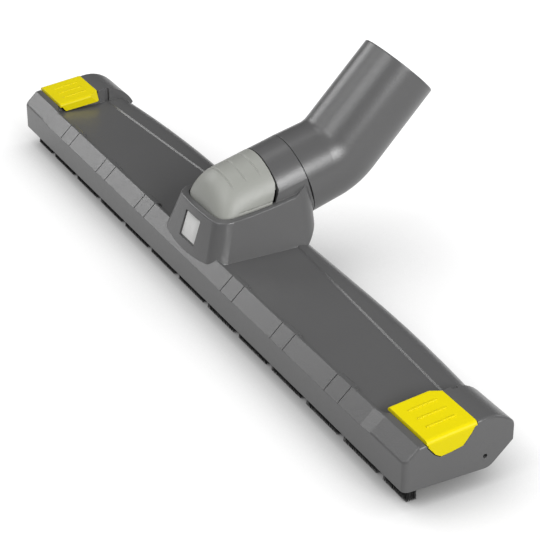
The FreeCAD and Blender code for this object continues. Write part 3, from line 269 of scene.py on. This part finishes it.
def noise_in_part(tree, grain_mm, detail):
    """Noise in the part's own space, with grains of about a size in millimetres."""
    place = tree.nodes.new("ShaderNodeTexCoord")
    noise = add_node(tree, "ShaderNodeTexNoise", Scale=1 / (grain_mm * MM), Detail=detail)
    tree.links.new(place.outputs["Object"], noise.inputs["Vector"])
    return noise.outputs["Fac"]


def drifting_colour(tree, colour, drift):
    """Colour that wanders slowly to both sides of its mean."""
    shade = tree.nodes.new("ShaderNodeMix")
    shade.data_type = "RGBA"
    shade.inputs["A"].default_value = [value * (1 - drift) for value in colour] + [1]
    shade.inputs["B"].default_value = [min(value * (1 + drift), 1) for value in colour] + [1]
    tree.links.new(noise_in_part(tree, DRIFT_GRAIN_MM, DRIFT_DETAIL), shade.inputs["Factor"])
    return shade.outputs["Result"]


def spotted_gloss(tree, gloss):
    """Roughness that changes a little from spot to spot."""
    rough = add_node(tree, "ShaderNodeMapRange", To_Min=gloss - GLOSS_SPREAD,
                     To_Max=gloss + GLOSS_SPREAD)
    tree.links.new(noise_in_part(tree, GLOSS_GRAIN_MM, GLOSS_DETAIL), rough.inputs["Value"])
    return rough.outputs[0]


def spark_grain(tree, grain_mm, edge_mm):
    """Bump of the eroded tool wall, over edges that a small radius softens."""
    bump = add_node(tree, "ShaderNodeBump", Strength=SPARK_STRENGTH, Distance=SPARK_DEPTH_MM * MM)
    tree.links.new(noise_in_part(tree, grain_mm, SPARK_DETAIL), bump.inputs["Height"])
    if edge_mm:
        edge = add_node(tree, "ShaderNodeBevel", Radius=edge_mm * MM)
        edge.samples = EDGE_SAMPLES
        tree.links.new(edge.outputs[0], bump.inputs["Normal"])
    return bump.outputs[0]


def moulded_finish(name, colour, gloss, grain_mm=0.8, drift=0.05, edge_mm=0.35):
    """Moulded plastic: colour, mean roughness, spark grain, slow drift and edge radius."""
    finish = bpy.data.materials.new(name)
    finish.use_nodes = True
    tree = finish.node_tree
    plastic = tree.nodes["Principled BSDF"]
    plastic.inputs["IOR"].default_value = PLASTIC_IOR
    tree.links.new(drifting_colour(tree, colour, drift), plastic.inputs["Base Color"])
    tree.links.new(spotted_gloss(tree, gloss), plastic.inputs["Roughness"])
    tree.links.new(spark_grain(tree, grain_mm, edge_mm), plastic.inputs["Normal"])
    return finish


grey_moulding = moulded_finish("grey_moulding", (0.116, 0.116, 0.117), 0.32)
print("nodes in the grey finish:", len(grey_moulding.node_tree.nodes))

# %% [markdown]
# The other finishes are the same recipe with other colours and gloss. The cap and the tile have
# real rounded edges in their meshes, and the hairs are too thin for any, so these three leave the
# Bevel node out. The yellow would turn pale under the strong lamp at the right, so its mirror
# layer is weaker. Steel could have a shader of its own, but pins and screws show little more than
# a dull metal sheen, so it is the same recipe with a finer grain, made metallic.

# %% Mix the other finishes
YELLOW_MIRROR = 0.22
STEEL_GRAIN_MM = 0.2

light_cap = moulded_finish("light_cap", (0.355, 0.362, 0.334), 0.45, drift=0.03, edge_mm=0.0)
white_badge = moulded_finish("white_badge", (0.80, 0.80, 0.79), 0.38, drift=0.02, edge_mm=0.0)
yellow_clip = moulded_finish("yellow_clip", (0.87, 0.735, 0.0), 0.42, drift=0.03)
yellow_shader = yellow_clip.node_tree.nodes["Principled BSDF"]
yellow_shader.inputs["Specular IOR Level"].default_value = YELLOW_MIRROR
dark_moulding = moulded_finish("dark_moulding", (0.060, 0.060, 0.061), 0.50)
black_rubber = moulded_finish("black_rubber", (0.012, 0.012, 0.012), 0.62)
black_nylon = moulded_finish("black_nylon", (0.006, 0.006, 0.006), 0.55, edge_mm=0.0)
spring_steel = moulded_finish("spring_steel", (0.52, 0.52, 0.53), 0.30, STEEL_GRAIN_MM)
blued_steel = moulded_finish("blued_steel", (0.025, 0.025, 0.028), 0.45, STEEL_GRAIN_MM)
for steel in (spring_steel, blued_steel):
    steel.node_tree.nodes["Principled BSDF"].inputs["Metallic"].default_value = 1.0
print("materials in the file, with the plain ones of the frame:", len(bpy.data.materials))

# %% [markdown]
# Every part of the frame is one moulding, so it takes one finish all over. A part's finish is the
# material in its slot, and a table of part and finish is easier to check against the real head
# than a line of code for each part. Four of these parts are replaced further down. They get their
# finish here all the same, so that nothing in the frame is left plain.

# %% Put the finishes on the moulded parts
FINISHES = {
    "housing_shell": grey_moulding, "elbow_tube": grey_moulding, "tower_cap": light_cap,
    "badge_plate": white_badge, "clip_left": yellow_clip, "clip_right": yellow_clip,
    "base_plate": dark_moulding, "insert_frame": dark_moulding, "base_screws": spring_steel,
    "front_strip_backing": black_rubber, "rear_strip_backing": black_rubber,
    "front_bristles": black_nylon, "rear_bristles": black_nylon, "swivel_ring": spring_steel,
    "swivel_seal": black_rubber, "wheel_hub_left": dark_moulding,
    "wheel_hub_right": dark_moulding, "wheel_tyre_left": black_rubber,
    "wheel_tyre_right": black_rubber, "wheel_axle_left": blued_steel,
    "wheel_axle_right": blued_steel,
}
for name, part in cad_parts.items():
    part.data.materials.clear()
    part.data.materials.append(FINISHES[name])
print("parts finished:", len(FINISHES))

# %% [markdown]
# The cap is a thin domed shell that drops into the top of the tower. Its sides are upright, its
# roof is an arch round the neck's axis, and its nose closes like a flattened egg. A Subdivision
# Surface modifier on a coarse cage would make such a dome quickly, but it would also round the
# one corner that has to stay crisp, the kink in the rear edge. So we lay a net of points instead:
# every column of the net is one cross section of the shell, and the last column lies exactly on
# the kinked rear edge. First come the curves that every section needs.

# %% Curves of the cap
NECK_Y, NECK_Z, NECK_R = 51.3, 49.3, 20.4
NECK_ANGLE = math.radians(15.9)
CAP_FRONT_Y, CAP_FRONT_Z = 3.8, 43.5
RIM_POINTS = ((2.3, 43.4), (22.0, 45.2), (43.0, 48.7))
CAP_REAR_EDGE = ((30.0, 44.0), (33.3, 55.7), (31.4, 67.0))


def rim_height(y):
    """Height at y of the tower's rim, the parabola through its three (y, z) points."""
    height = 0.0
    for i, (yi, zi) in enumerate(RIM_POINTS):
        share = 1.0
        for j, (yj, _) in enumerate(RIM_POINTS):
            if j != i:
                share *= (y - yj) / (yi - yj)
        height += zi * share
    return height


def rear_edge_y(z):
    """Y of the cap's kinked rear edge at a height."""
    low, kink, high = CAP_REAR_EDGE
    first, last = (low, kink) if z < kink[1] else (kink, high)
    share = (z - first[1]) / (last[1] - first[1])
    return first[0] + share * (last[0] - first[0])


def closing(share, power):
    """How far the nose has opened: 0 at its tip, 1 where the straight part starts."""
    share = min(max(share, 0.0), 1.0)
    return (1 - (1 - share) ** power) ** (1 / power)


print("rim under the cap's front in mm:", round(rim_height(CAP_FRONT_Y), 2))

# %% [markdown]
# A section is an upright side, a soft shoulder and an arc over the roof. One smooth formula could
# give such a curve, but a maker draws it as lines and arcs with real measures, and then walks
# along it by distance from the foot. The walk lets us choose where the points lie: close together
# above the foot, where a fine line will be pressed in, and evenly over the rest.

# %% Arc and rows of a section
CAP_GIRTH_STEPS = 38
FOOT_FINE_FROM, FOOT_FINE_PITCH, FOOT_FINE_ROWS = 3.4, 0.14, 10
FOOT_ROWS = [0.0, 1.2, 2.4, 3.1] + [FOOT_FINE_FROM + FOOT_FINE_PITCH * row
                                    for row in range(FOOT_FINE_ROWS)]
FOOT_ROWS_FROM_LENGTH = 20.0


def roof_arc(half, rise):
    """Radius of the arc with a half width and a rise, and the angle from its top to its end."""
    radius = (half ** 2 + rise ** 2) / (2 * rise)
    reach = math.asin(min(half / radius, 1.0))
    return radius, math.pi - reach if rise > half else reach


def girth_rows(length):
    """Distances from the foot at which one side of a section has its points."""
    shrink = min(length / FOOT_ROWS_FROM_LENGTH, 1.0)
    rows = [row * shrink for row in FOOT_ROWS]
    return rows + [rows[-1] + (length - rows[-1]) * i / CAP_GIRTH_STEPS
                   for i in range(1, CAP_GIRTH_STEPS + 1)]


print("points on one side of a section:", len(girth_rows(FOOT_ROWS_FROM_LENGTH)))

# %% [markdown]
# Now one section at a station of Y. The side goes straight up from the seat below the tower's
# rim, and the arc follows. Where they meet there would be a corner. A modifier could round it on
# the finished net, but it would round the foot as well, so each point near the corner is drawn
# towards the middle of two neighbours instead. The left half is the mirror image of the right.

# %% One cross section
CAP_HALF_WIDTH, CAP_NOSE_LENGTH = 19.3, 12.0
PLAN_POWER, CROWN_POWER = 4.2, 2.4
CAP_SEAT_DROP = 3.1
LEAST_HALF_WIDTH, LEAST_RISE, LEAST_UPRIGHT = 0.02, 0.01, 0.05
SHOULDER_ROUND, SHOULDER_SHARE = 3.0, 0.45


def cap_section(y, inset):
    """Points of one cross section from the left foot over the roof to the right foot."""
    share = (y - CAP_FRONT_Y - inset) / (CAP_NOSE_LENGTH - inset)
    ridge = NECK_Z + (y - NECK_Y) * math.tan(NECK_ANGLE) + NECK_R / math.cos(NECK_ANGLE)
    arch_drop = NECK_R - math.sqrt(NECK_R ** 2 - CAP_HALF_WIDTH ** 2)
    shoulder = ridge - arch_drop / math.cos(NECK_ANGLE)
    half = max(CAP_HALF_WIDTH * closing(share, PLAN_POWER) - inset, LEAST_HALF_WIDTH)
    crown = CAP_FRONT_Z + (ridge - CAP_FRONT_Z) * closing(share, CROWN_POWER) - inset
    spring = min(CAP_FRONT_Z + (shoulder - CAP_FRONT_Z) * min(share, 1.0) - inset,
                 crown - LEAST_RISE)
    foot = rim_height(y) - CAP_SEAT_DROP
    radius, reach = roof_arc(half, crown - spring)
    upright = max(spring - foot, LEAST_UPRIGHT)
    length = upright + radius * reach

    def at(distance):
        """Point at a distance from the foot, on the right-hand half."""
        if distance < upright:
            return half, foot + distance
        angle = reach - (distance - upright) / radius
        return radius * math.sin(angle), crown - radius + radius * math.cos(angle)

    blend = min(SHOULDER_ROUND, upright * SHOULDER_SHARE, radius * reach * SHOULDER_SHARE)
    side = []
    for distance in girth_rows(length):
        spread = blend * 0.5 * max(0.0, 1 - abs(distance - upright) / blend)
        a, b, c = at(distance - spread), at(distance), at(min(distance + spread, length))
        side.append(((a[0] + 2 * b[0] + c[0]) / 4, (a[1] + 2 * b[1] + c[1]) / 4))
    return [(-x, z) for x, z in side[:-1]] + [(0.0, side[-1][1])] + list(reversed(side[:-1]))


widest = cap_section(CAP_FRONT_Y + CAP_NOSE_LENGTH, 0.0)
print("roof of the cap behind its nose in mm:", round(max(z for _, z in widest), 2))

# %% [markdown]
# The real cap has a fine line along the foot of its sides and three shallow grooves across its
# roof. Both could be faked with a bump in the finish, but a bump is lost when only the mesh is
# used, and these are real forms, so they are pressed into the net. Each is a smooth dip: the sink
# is deepest on the line and fades to both sides and at the ends.

# %% The foot line and the grooves
GROOVE_YS = (12.8, 19.8, 26.8)
GROOVE_HALF_LENGTH, GROOVE_HALF_WIDTH, GROOVE_DEPTH = 12.5, 0.30, 0.50
GROOVE_FADE_OUTSIDE, GROOVE_FADE_INSIDE = 0.4, 0.8
FOOT_LINE, FOOT_LINE_HALF_WIDTH, FOOT_LINE_DEPTH = 1.0, 0.24, 0.35
FOOT_LINE_FROM_Y = (12.5, 16.5)
NECK_ALONG = Vector((0, math.cos(NECK_ANGLE), math.sin(NECK_ANGLE)))


def smooth_step(low, high, value):
    """0 at low, 1 at high, with a soft change between."""
    share = min(max((value - low) / (high - low), 0.0), 1.0)
    return share * share * (3 - 2 * share)


def foot_sink(point):
    """How far the line along the foot of the cap's sides is pressed in."""
    above = point.z - rim_height(point.y) - FOOT_LINE
    fade = smooth_step(*FOOT_LINE_FROM_Y, point.y)
    return FOOT_LINE_DEPTH * fade * math.exp(-(above / FOOT_LINE_HALF_WIDTH) ** 2)


def groove_sink(point):
    """How far a point of the roof is pressed in by the cross grooves."""
    along = (point - Vector((0, NECK_Y, NECK_Z))).dot(NECK_ALONG)
    sink = 0.0
    for y in GROOVE_YS:
        place = (y - NECK_Y) / math.cos(NECK_ANGLE) + NECK_R * math.tan(NECK_ANGLE)
        sink += math.exp(-((along - place) / GROOVE_HALF_WIDTH) ** 2)
    ends = smooth_step(GROOVE_HALF_LENGTH + GROOVE_FADE_OUTSIDE,
                       GROOVE_HALF_LENGTH - GROOVE_FADE_INSIDE, abs(point.x))
    return GROOVE_DEPTH * sink * ends


print("grooves in the roof:", len(GROOVE_YS), "each", 2 * GROOVE_HALF_LENGTH, "mm long")

# %% [markdown]
# Now the net itself. The nose turns fast near its tip, so its columns crowd together there. The
# rest has an even pitch, fine enough for the grooves. A net with upright columns would have to be
# cut along the kinked rear edge, and a cut leaves slivers. Instead each lengthwise line of the
# net is stretched until it ends exactly on that edge. Where the line meets the edge depends on
# its height and the height on where it ends, so a few rounds of trial settle it.

# %% Lay the net
CAP_THICKNESS = 1.8
CAP_FINE_FROM_Y, CAP_STRAIGHT_TO_Y = 11.0, 34.0
CAP_STRAIGHT_FROM_Y = CAP_FRONT_Y + CAP_NOSE_LENGTH
CAP_COLUMN_PITCH = 0.19
NOSE_COLUMNS, NOSE_CROWDING = 30, 3
EDGE_ROUNDS = 5


def nose_columns(inset):
    """Columns from the nose's tip to where the straight part starts."""
    ys = [CAP_FRONT_Y + inset
          + (CAP_FINE_FROM_Y - CAP_FRONT_Y - inset) * (i / NOSE_COLUMNS) ** NOSE_CROWDING
          for i in range(NOSE_COLUMNS)]
    fine = round((CAP_STRAIGHT_FROM_Y - CAP_FINE_FROM_Y) / CAP_COLUMN_PITCH)
    ys += [CAP_FINE_FROM_Y + (CAP_STRAIGHT_FROM_Y - CAP_FINE_FROM_Y) * i / fine
           for i in range(fine)]
    return [[Vector((x, y, z)) for x, z in cap_section(y, inset)] for y in ys]


def straight_columns(inset):
    """Columns of the straight part, the last of them on the kinked rear edge."""
    near, far = cap_section(CAP_STRAIGHT_FROM_Y, inset), cap_section(CAP_STRAIGHT_TO_Y, inset)
    run = CAP_STRAIGHT_TO_Y - CAP_STRAIGHT_FROM_Y
    ends = []
    for (_, z0), (_, z1) in zip(near, far):
        y = CAP_STRAIGHT_TO_Y
        for _ in range(EDGE_ROUNDS):
            y = rear_edge_y(z0 + (z1 - z0) * (y - CAP_STRAIGHT_FROM_Y) / run)
        ends.append(y)
    columns = []
    count = round(run / CAP_COLUMN_PITCH)
    for step in range(count + 1):
        column = []
        for (x0, z0), (x1, z1), end in zip(near, far, ends):
            y = CAP_STRAIGHT_FROM_Y + (end - CAP_STRAIGHT_FROM_Y) * step / count
            share = (y - CAP_STRAIGHT_FROM_Y) / run
            column.append(Vector((x0 + (x1 - x0) * share, y, z0 + (z1 - z0) * share)))
        columns.append(column)
    return columns


def press_in(columns):
    """Press the grooves and the foot line into the points of a net."""
    for column in columns:
        for point in column:
            axis_z = NECK_Z + (point.y - NECK_Y) * math.tan(NECK_ANGLE)
            outward = Vector((point.x, 0, point.z - axis_z)).normalized()
            point -= outward * groove_sink(point)
            point.x -= math.copysign(foot_sink(point), point.x)


outer_net = nose_columns(0.0) + straight_columns(0.0)
inner_net = nose_columns(CAP_THICKNESS) + straight_columns(CAP_THICKNESS)
press_in(outer_net)
print("the outer net has", len(outer_net), "columns of", len(outer_net[0]), "points")

# %% [markdown]
# A net has no thickness. The Solidify modifier could give it one, but at the nose, where the net
# is folded tightly, its inside would tangle. We made a second net inside the first, with as many
# points, and only have to sew the two together along the foot and the rear edge. Faces are lists
# of point numbers, and the inner net's faces run the other way round, so that they look inward.

# %% Sew the two nets to a shell
def cap_shell(outer, inner):
    """Outer and inner net, joined along the foot and the rear edge."""
    width, length = len(outer[0]), len(outer)
    points = [p for column in outer for p in column] + [p for column in inner for p in column]
    offset = width * length
    faces = []
    for j in range(length - 1):
        for i in range(width - 1):
            a, b = j * width + i, (j + 1) * width + i
            faces.append((a, a + 1, b + 1, b))
            faces.append((offset + b, offset + b + 1, offset + a + 1, offset + a))
        a, b = j * width, (j + 1) * width
        faces.append((a, b, offset + b, offset + a))
        a, b = a + width - 1, b + width - 1
        faces.append((b, a, offset + a, offset + b))
    last = (length - 1) * width
    for i in range(width - 1):
        faces.append((last + i, last + i + 1, offset + last + i + 1, offset + last + i))
    return points, faces


shell_points, shell_faces = cap_shell(outer_net, inner_net)
print("points and faces in the shell:", len(shell_points), len(shell_faces))

# %% [markdown]
# Under its rear edge the cap has a tongue, a strip of an arch that slips below the collar and
# keeps the cap from lifting. A Screw modifier could turn a small rectangle round the neck's axis.
# We turn its four corners ourselves, because the strip then goes into the same mesh as the shell.

# %% The tongue under the rear edge
TONGUE_R, TONGUE_WALL = 17.7, 1.6
TONGUE_HALF_ANGLE, TONGUE_STEPS = math.radians(66), 28
TONGUE_ALONG = (-21.5, -13.2)
NECK_UP = Vector((0, -math.sin(NECK_ANGLE), math.cos(NECK_ANGLE)))


def cap_tongue(start):
    """Curved strip round the neck's axis, with point numbers that begin at start."""
    points = []
    for step in range(TONGUE_STEPS + 1):
        angle = TONGUE_HALF_ANGLE * (2 * step / TONGUE_STEPS - 1)
        for radius in (TONGUE_R, TONGUE_R - TONGUE_WALL):
            for along in TONGUE_ALONG:
                points.append(Vector((radius * math.sin(angle), NECK_Y, NECK_Z))
                              + NECK_ALONG * along + NECK_UP * radius * math.cos(angle))
    ring = (0, 1, 3, 2)
    faces = [tuple(start + i for i in ring)]
    for step in range(TONGUE_STEPS):
        a, b = start + 4 * step, start + 4 * step + 4
        for i, j in zip(ring, ring[1:] + ring[:1]):
            faces.append((a + j, a + i, b + i, b + j))
    faces.append(tuple(start + 4 * TONGUE_STEPS + i for i in reversed(ring)))
    return points, faces


tongue_points, tongue_faces = cap_tongue(len(shell_points))
print("faces in the tongue:", len(tongue_faces))

# %% [markdown]
# Points and faces become a piece in three steps: a mesh, a finish in its slot, and an object that
# stands in the scene. Shading it smooth hides the net, but would also smear the light over the
# rear edge, so edges that turn by more than a set angle stay sharp. The piece then takes the
# place of the plain cap of the frame: it rides on the head, and the plain one is hidden.

# %% Make the cap
CAP_CREASE_DEGREES = 38
DOUBLED_WITHIN = 0.00001


def new_piece(name, points, faces, finish, smooth=True):
    """Mesh piece from points in millimetres."""
    mesh = bpy.data.meshes.new(name)
    mesh.from_pydata([tuple(Vector(p) * MM) for p in points], [], faces)
    if smooth:
        mesh.shade_smooth()
    mesh.materials.append(finish)
    piece = bpy.data.objects.new(name, mesh)
    bpy.context.scene.collection.objects.link(piece)
    return piece


def tidy_mesh(piece, crease_degrees):
    """Merge doubled points, turn the faces outward and keep edges sharp above an angle."""
    work = bmesh.new()
    work.from_mesh(piece.data)
    bmesh.ops.remove_doubles(work, verts=work.verts, dist=DOUBLED_WITHIN)
    bmesh.ops.recalc_face_normals(work, faces=work.faces)
    work.to_mesh(piece.data)
    work.free()
    piece.data.set_sharp_from_angle(angle=math.radians(crease_degrees))


dome = new_piece("cap_dome", shell_points + tongue_points, shell_faces + tongue_faces, light_cap)
tidy_mesh(dome, CAP_CREASE_DEGREES)
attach(dome, "head")
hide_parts("tower_cap")
print("faces in the cap:", len(dome.data.polygons))

# %% [markdown]
# The little plate on the tower's front sits in a shallow window. It is a thin tile with softened
# edges, a hair smaller than its window, so a dark line of shadow runs round it. A cube with a
# Bevel modifier would round the corners and the front edge by one and the same radius. We stack
# four rounded outlines instead, and draw the front ones in a little. The tower's front leans
# back, and the tile leans with it.

# %% Set the tile in its window
WINDOW_MIDDLE = Vector((0.0, -2.64, 33.5))
WINDOW_LEAN = math.radians(18.1)
TILE_WIDTH, TILE_HEIGHT, TILE_CORNER_R, TILE_CORNER_STEPS = 13.9, 11.7, 0.5, 6
TILE_BACK, TILE_FRONT, TILE_EDGE = -1.1, -0.5, 0.18
TILE_EDGE_MIDDLE = TILE_EDGE * 0.3
TILE_CREASE_DEGREES = 40


def rounded_outline(half_width, half_height, radius):
    """Points round a rectangle with rounded corners."""
    outline = []
    for corner, (sx, sy) in enumerate(((1, 1), (-1, 1), (-1, -1), (1, -1))):
        for step in range(TILE_CORNER_STEPS + 1):
            angle = math.radians(90 * corner + 90 * step / TILE_CORNER_STEPS)
            outline.append((sx * (half_width - radius) + radius * math.cos(angle),
                            sy * (half_height - radius) + radius * math.sin(angle)))
    return outline


def leaning_tile():
    """Closed tile with a small rounding round its front."""
    across = Vector((1, 0, 0))
    upward = Vector((0, math.sin(WINDOW_LEAN), math.cos(WINDOW_LEAN)))
    outward = Vector((0, -math.cos(WINDOW_LEAN), math.sin(WINDOW_LEAN)))
    rings = ((0.0, TILE_BACK), (0.0, TILE_FRONT - TILE_EDGE),
             (TILE_EDGE_MIDDLE, TILE_FRONT - TILE_EDGE_MIDDLE), (TILE_EDGE, TILE_FRONT))
    points, faces = [], []
    for inset, depth in rings:
        outline = rounded_outline(TILE_WIDTH / 2 - inset, TILE_HEIGHT / 2 - inset, TILE_CORNER_R)
        points += [WINDOW_MIDDLE + across * x + upward * z + outward * depth for x, z in outline]
    count = len(points) // len(rings)
    for ring in range(len(rings) - 1):
        for i in range(count):
            a, b = ring * count + i, ring * count + (i + 1) % count
            faces.append((a, b, b + count, a + count))
    faces.append(tuple(reversed(range(count))))
    faces.append(tuple(range((len(rings) - 1) * count, len(rings) * count)))
    return points, faces


tile = new_piece("window_tile", *leaning_tile(), white_badge)
tidy_mesh(tile, TILE_CREASE_DEGREES)
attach(tile, "head")
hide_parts("badge_plate")
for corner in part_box("badge_plate"):
    print("corner of the plain plate in mm:", [round(value / MM, 2) for value in corner])

# %% [markdown]
# The strips under the head are rows of nylon tufts set in a black bar. From the front they look
# like one dark band, until the light catches single hairs at the gaps between the segments.
# Blender's hair system could grow them, but its strands are curves for the picture only. Here
# every tuft is a bundle of real hairs: slim tapered prisms that start close together in the bar,
# spread towards the floor and lean a little to the front, so that they show below the front
# wall. The chance numbers have a fixed seed, so the brush is the same each time.

# %% One hair and one tuft
BAR_Z = 11.0
HAIRS_IN_TUFT = 64
HAIR_R, HAIR_BEND_AT = 0.17, 0.55
HAIR_RADII = (HAIR_R, HAIR_R * 0.95, HAIR_R * 0.72)
HAIR_BEND_X, HAIR_BEND_Y = 0.1, 0.08
GOLDEN_STEP, STEP_SPREAD = 0.618, 0.05
ROOT_SHARE = 0.7
ROOT_HALF_DEPTH, TIP_HALF_DEPTH, TIP_LEAN = 1.15, 2.35, 0.65
TIP_HIGHEST = 0.14
random.seed(11)


def hair(points, faces, root, tip):
    """One hair: a three-sided prism of two runs that thins to its tip."""
    start = len(points)
    bend = root.lerp(tip, HAIR_BEND_AT) + Vector((random.uniform(-HAIR_BEND_X, HAIR_BEND_X),
                                                  random.uniform(-HAIR_BEND_Y, HAIR_BEND_Y), 0))
    turn = random.uniform(0, math.tau)
    for centre, radius in zip((root, bend, tip), HAIR_RADII):
        for corner in range(3):
            angle = turn + corner * math.tau / 3
            points.append(centre + Vector((math.cos(angle), math.sin(angle), 0)) * radius)
    for ring in (start, start + 3):
        for corner in range(3):
            other = (corner + 1) % 3
            faces.append((ring + corner, ring + other, ring + 3 + other, ring + 3 + corner))
    faces.append((start, start + 2, start + 1))
    faces.append((start + 6, start + 7, start + 8))


def tuft(points, faces, x, y, half_pitch, low_x, high_x):
    """Bundle of hairs round a point of the bar, kept between two stations of X."""
    for index in range(HAIRS_IN_TUFT):
        across = 2 * ((index * GOLDEN_STEP + random.uniform(0, STEP_SPREAD)) % 1) - 1
        deep = math.cos(math.pi * (index + 0.5) / HAIRS_IN_TUFT)
        root = Vector((x + across * half_pitch * ROOT_SHARE, y + deep * ROOT_HALF_DEPTH, BAR_Z))
        end_x = min(max(x + across * half_pitch, low_x + HAIR_R), high_x - HAIR_R)
        tip = Vector((end_x, y + deep * TIP_HALF_DEPTH - TIP_LEAN,
                      random.uniform(0.0, TIP_HIGHEST)))
        hair(points, faces, root, tip)


print("a tuft has", HAIRS_IN_TUFT, "hairs,", 2 * HAIR_R, "mm thick at the root")

# %% [markdown]
# The front strip has eleven equal segments and two short ends, with gaps that let coarse dirt
# through. The rear strip has none. An Array modifier could repeat one segment, but its copies
# would be the same hair for hair, and the eye finds such repeats at once. So we work out where
# each run of tufts begins and ends, and plant every run with new hairs.

# %% Plant the two strips
TUFT_PITCH = 3.846
FULL_SEGMENTS, SEGMENT_PITCH, SEGMENT_GAP = 11, 31.677, 4.75
FRONT_HALF_LENGTH, REAR_HALF_LENGTH = 194.6, 168.0
FRONT_STRIP_Y, REAR_STRIP_Y = 0.0, 31.2


def plant_strip(name, runs, y, node):
    """Bristle strip as tufts along its runs from one station of X to another."""
    points, faces, count = [], [], 0
    for low_x, high_x in runs:
        tufts = round((high_x - low_x) / TUFT_PITCH)
        step = (high_x - low_x) / tufts
        for index in range(tufts):
            tuft(points, faces, low_x + (index + 0.5) * step, y, step / 2, low_x, high_x)
        count += tufts
    brush = new_piece(name, points, faces, black_nylon, smooth=False)
    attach(brush, "head")
    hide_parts(node)
    print(name, "has", count, "tufts and", len(faces), "faces")


half_run = (SEGMENT_PITCH - SEGMENT_GAP) / 2
middles = [(i - (FULL_SEGMENTS - 1) / 2) * SEGMENT_PITCH for i in range(FULL_SEGMENTS)]
end_run = FULL_SEGMENTS * SEGMENT_PITCH / 2 + SEGMENT_GAP / 2
front_runs = [(middle - half_run, middle + half_run) for middle in middles]
front_runs += [(-FRONT_HALF_LENGTH, -end_run), (end_run, FRONT_HALF_LENGTH)]
plant_strip("front_brush", front_runs, FRONT_STRIP_Y, "front_bristles")
plant_strip("rear_brush", [(-REAR_HALF_LENGTH, REAR_HALF_LENGTH)], REAR_STRIP_Y, "rear_bristles")
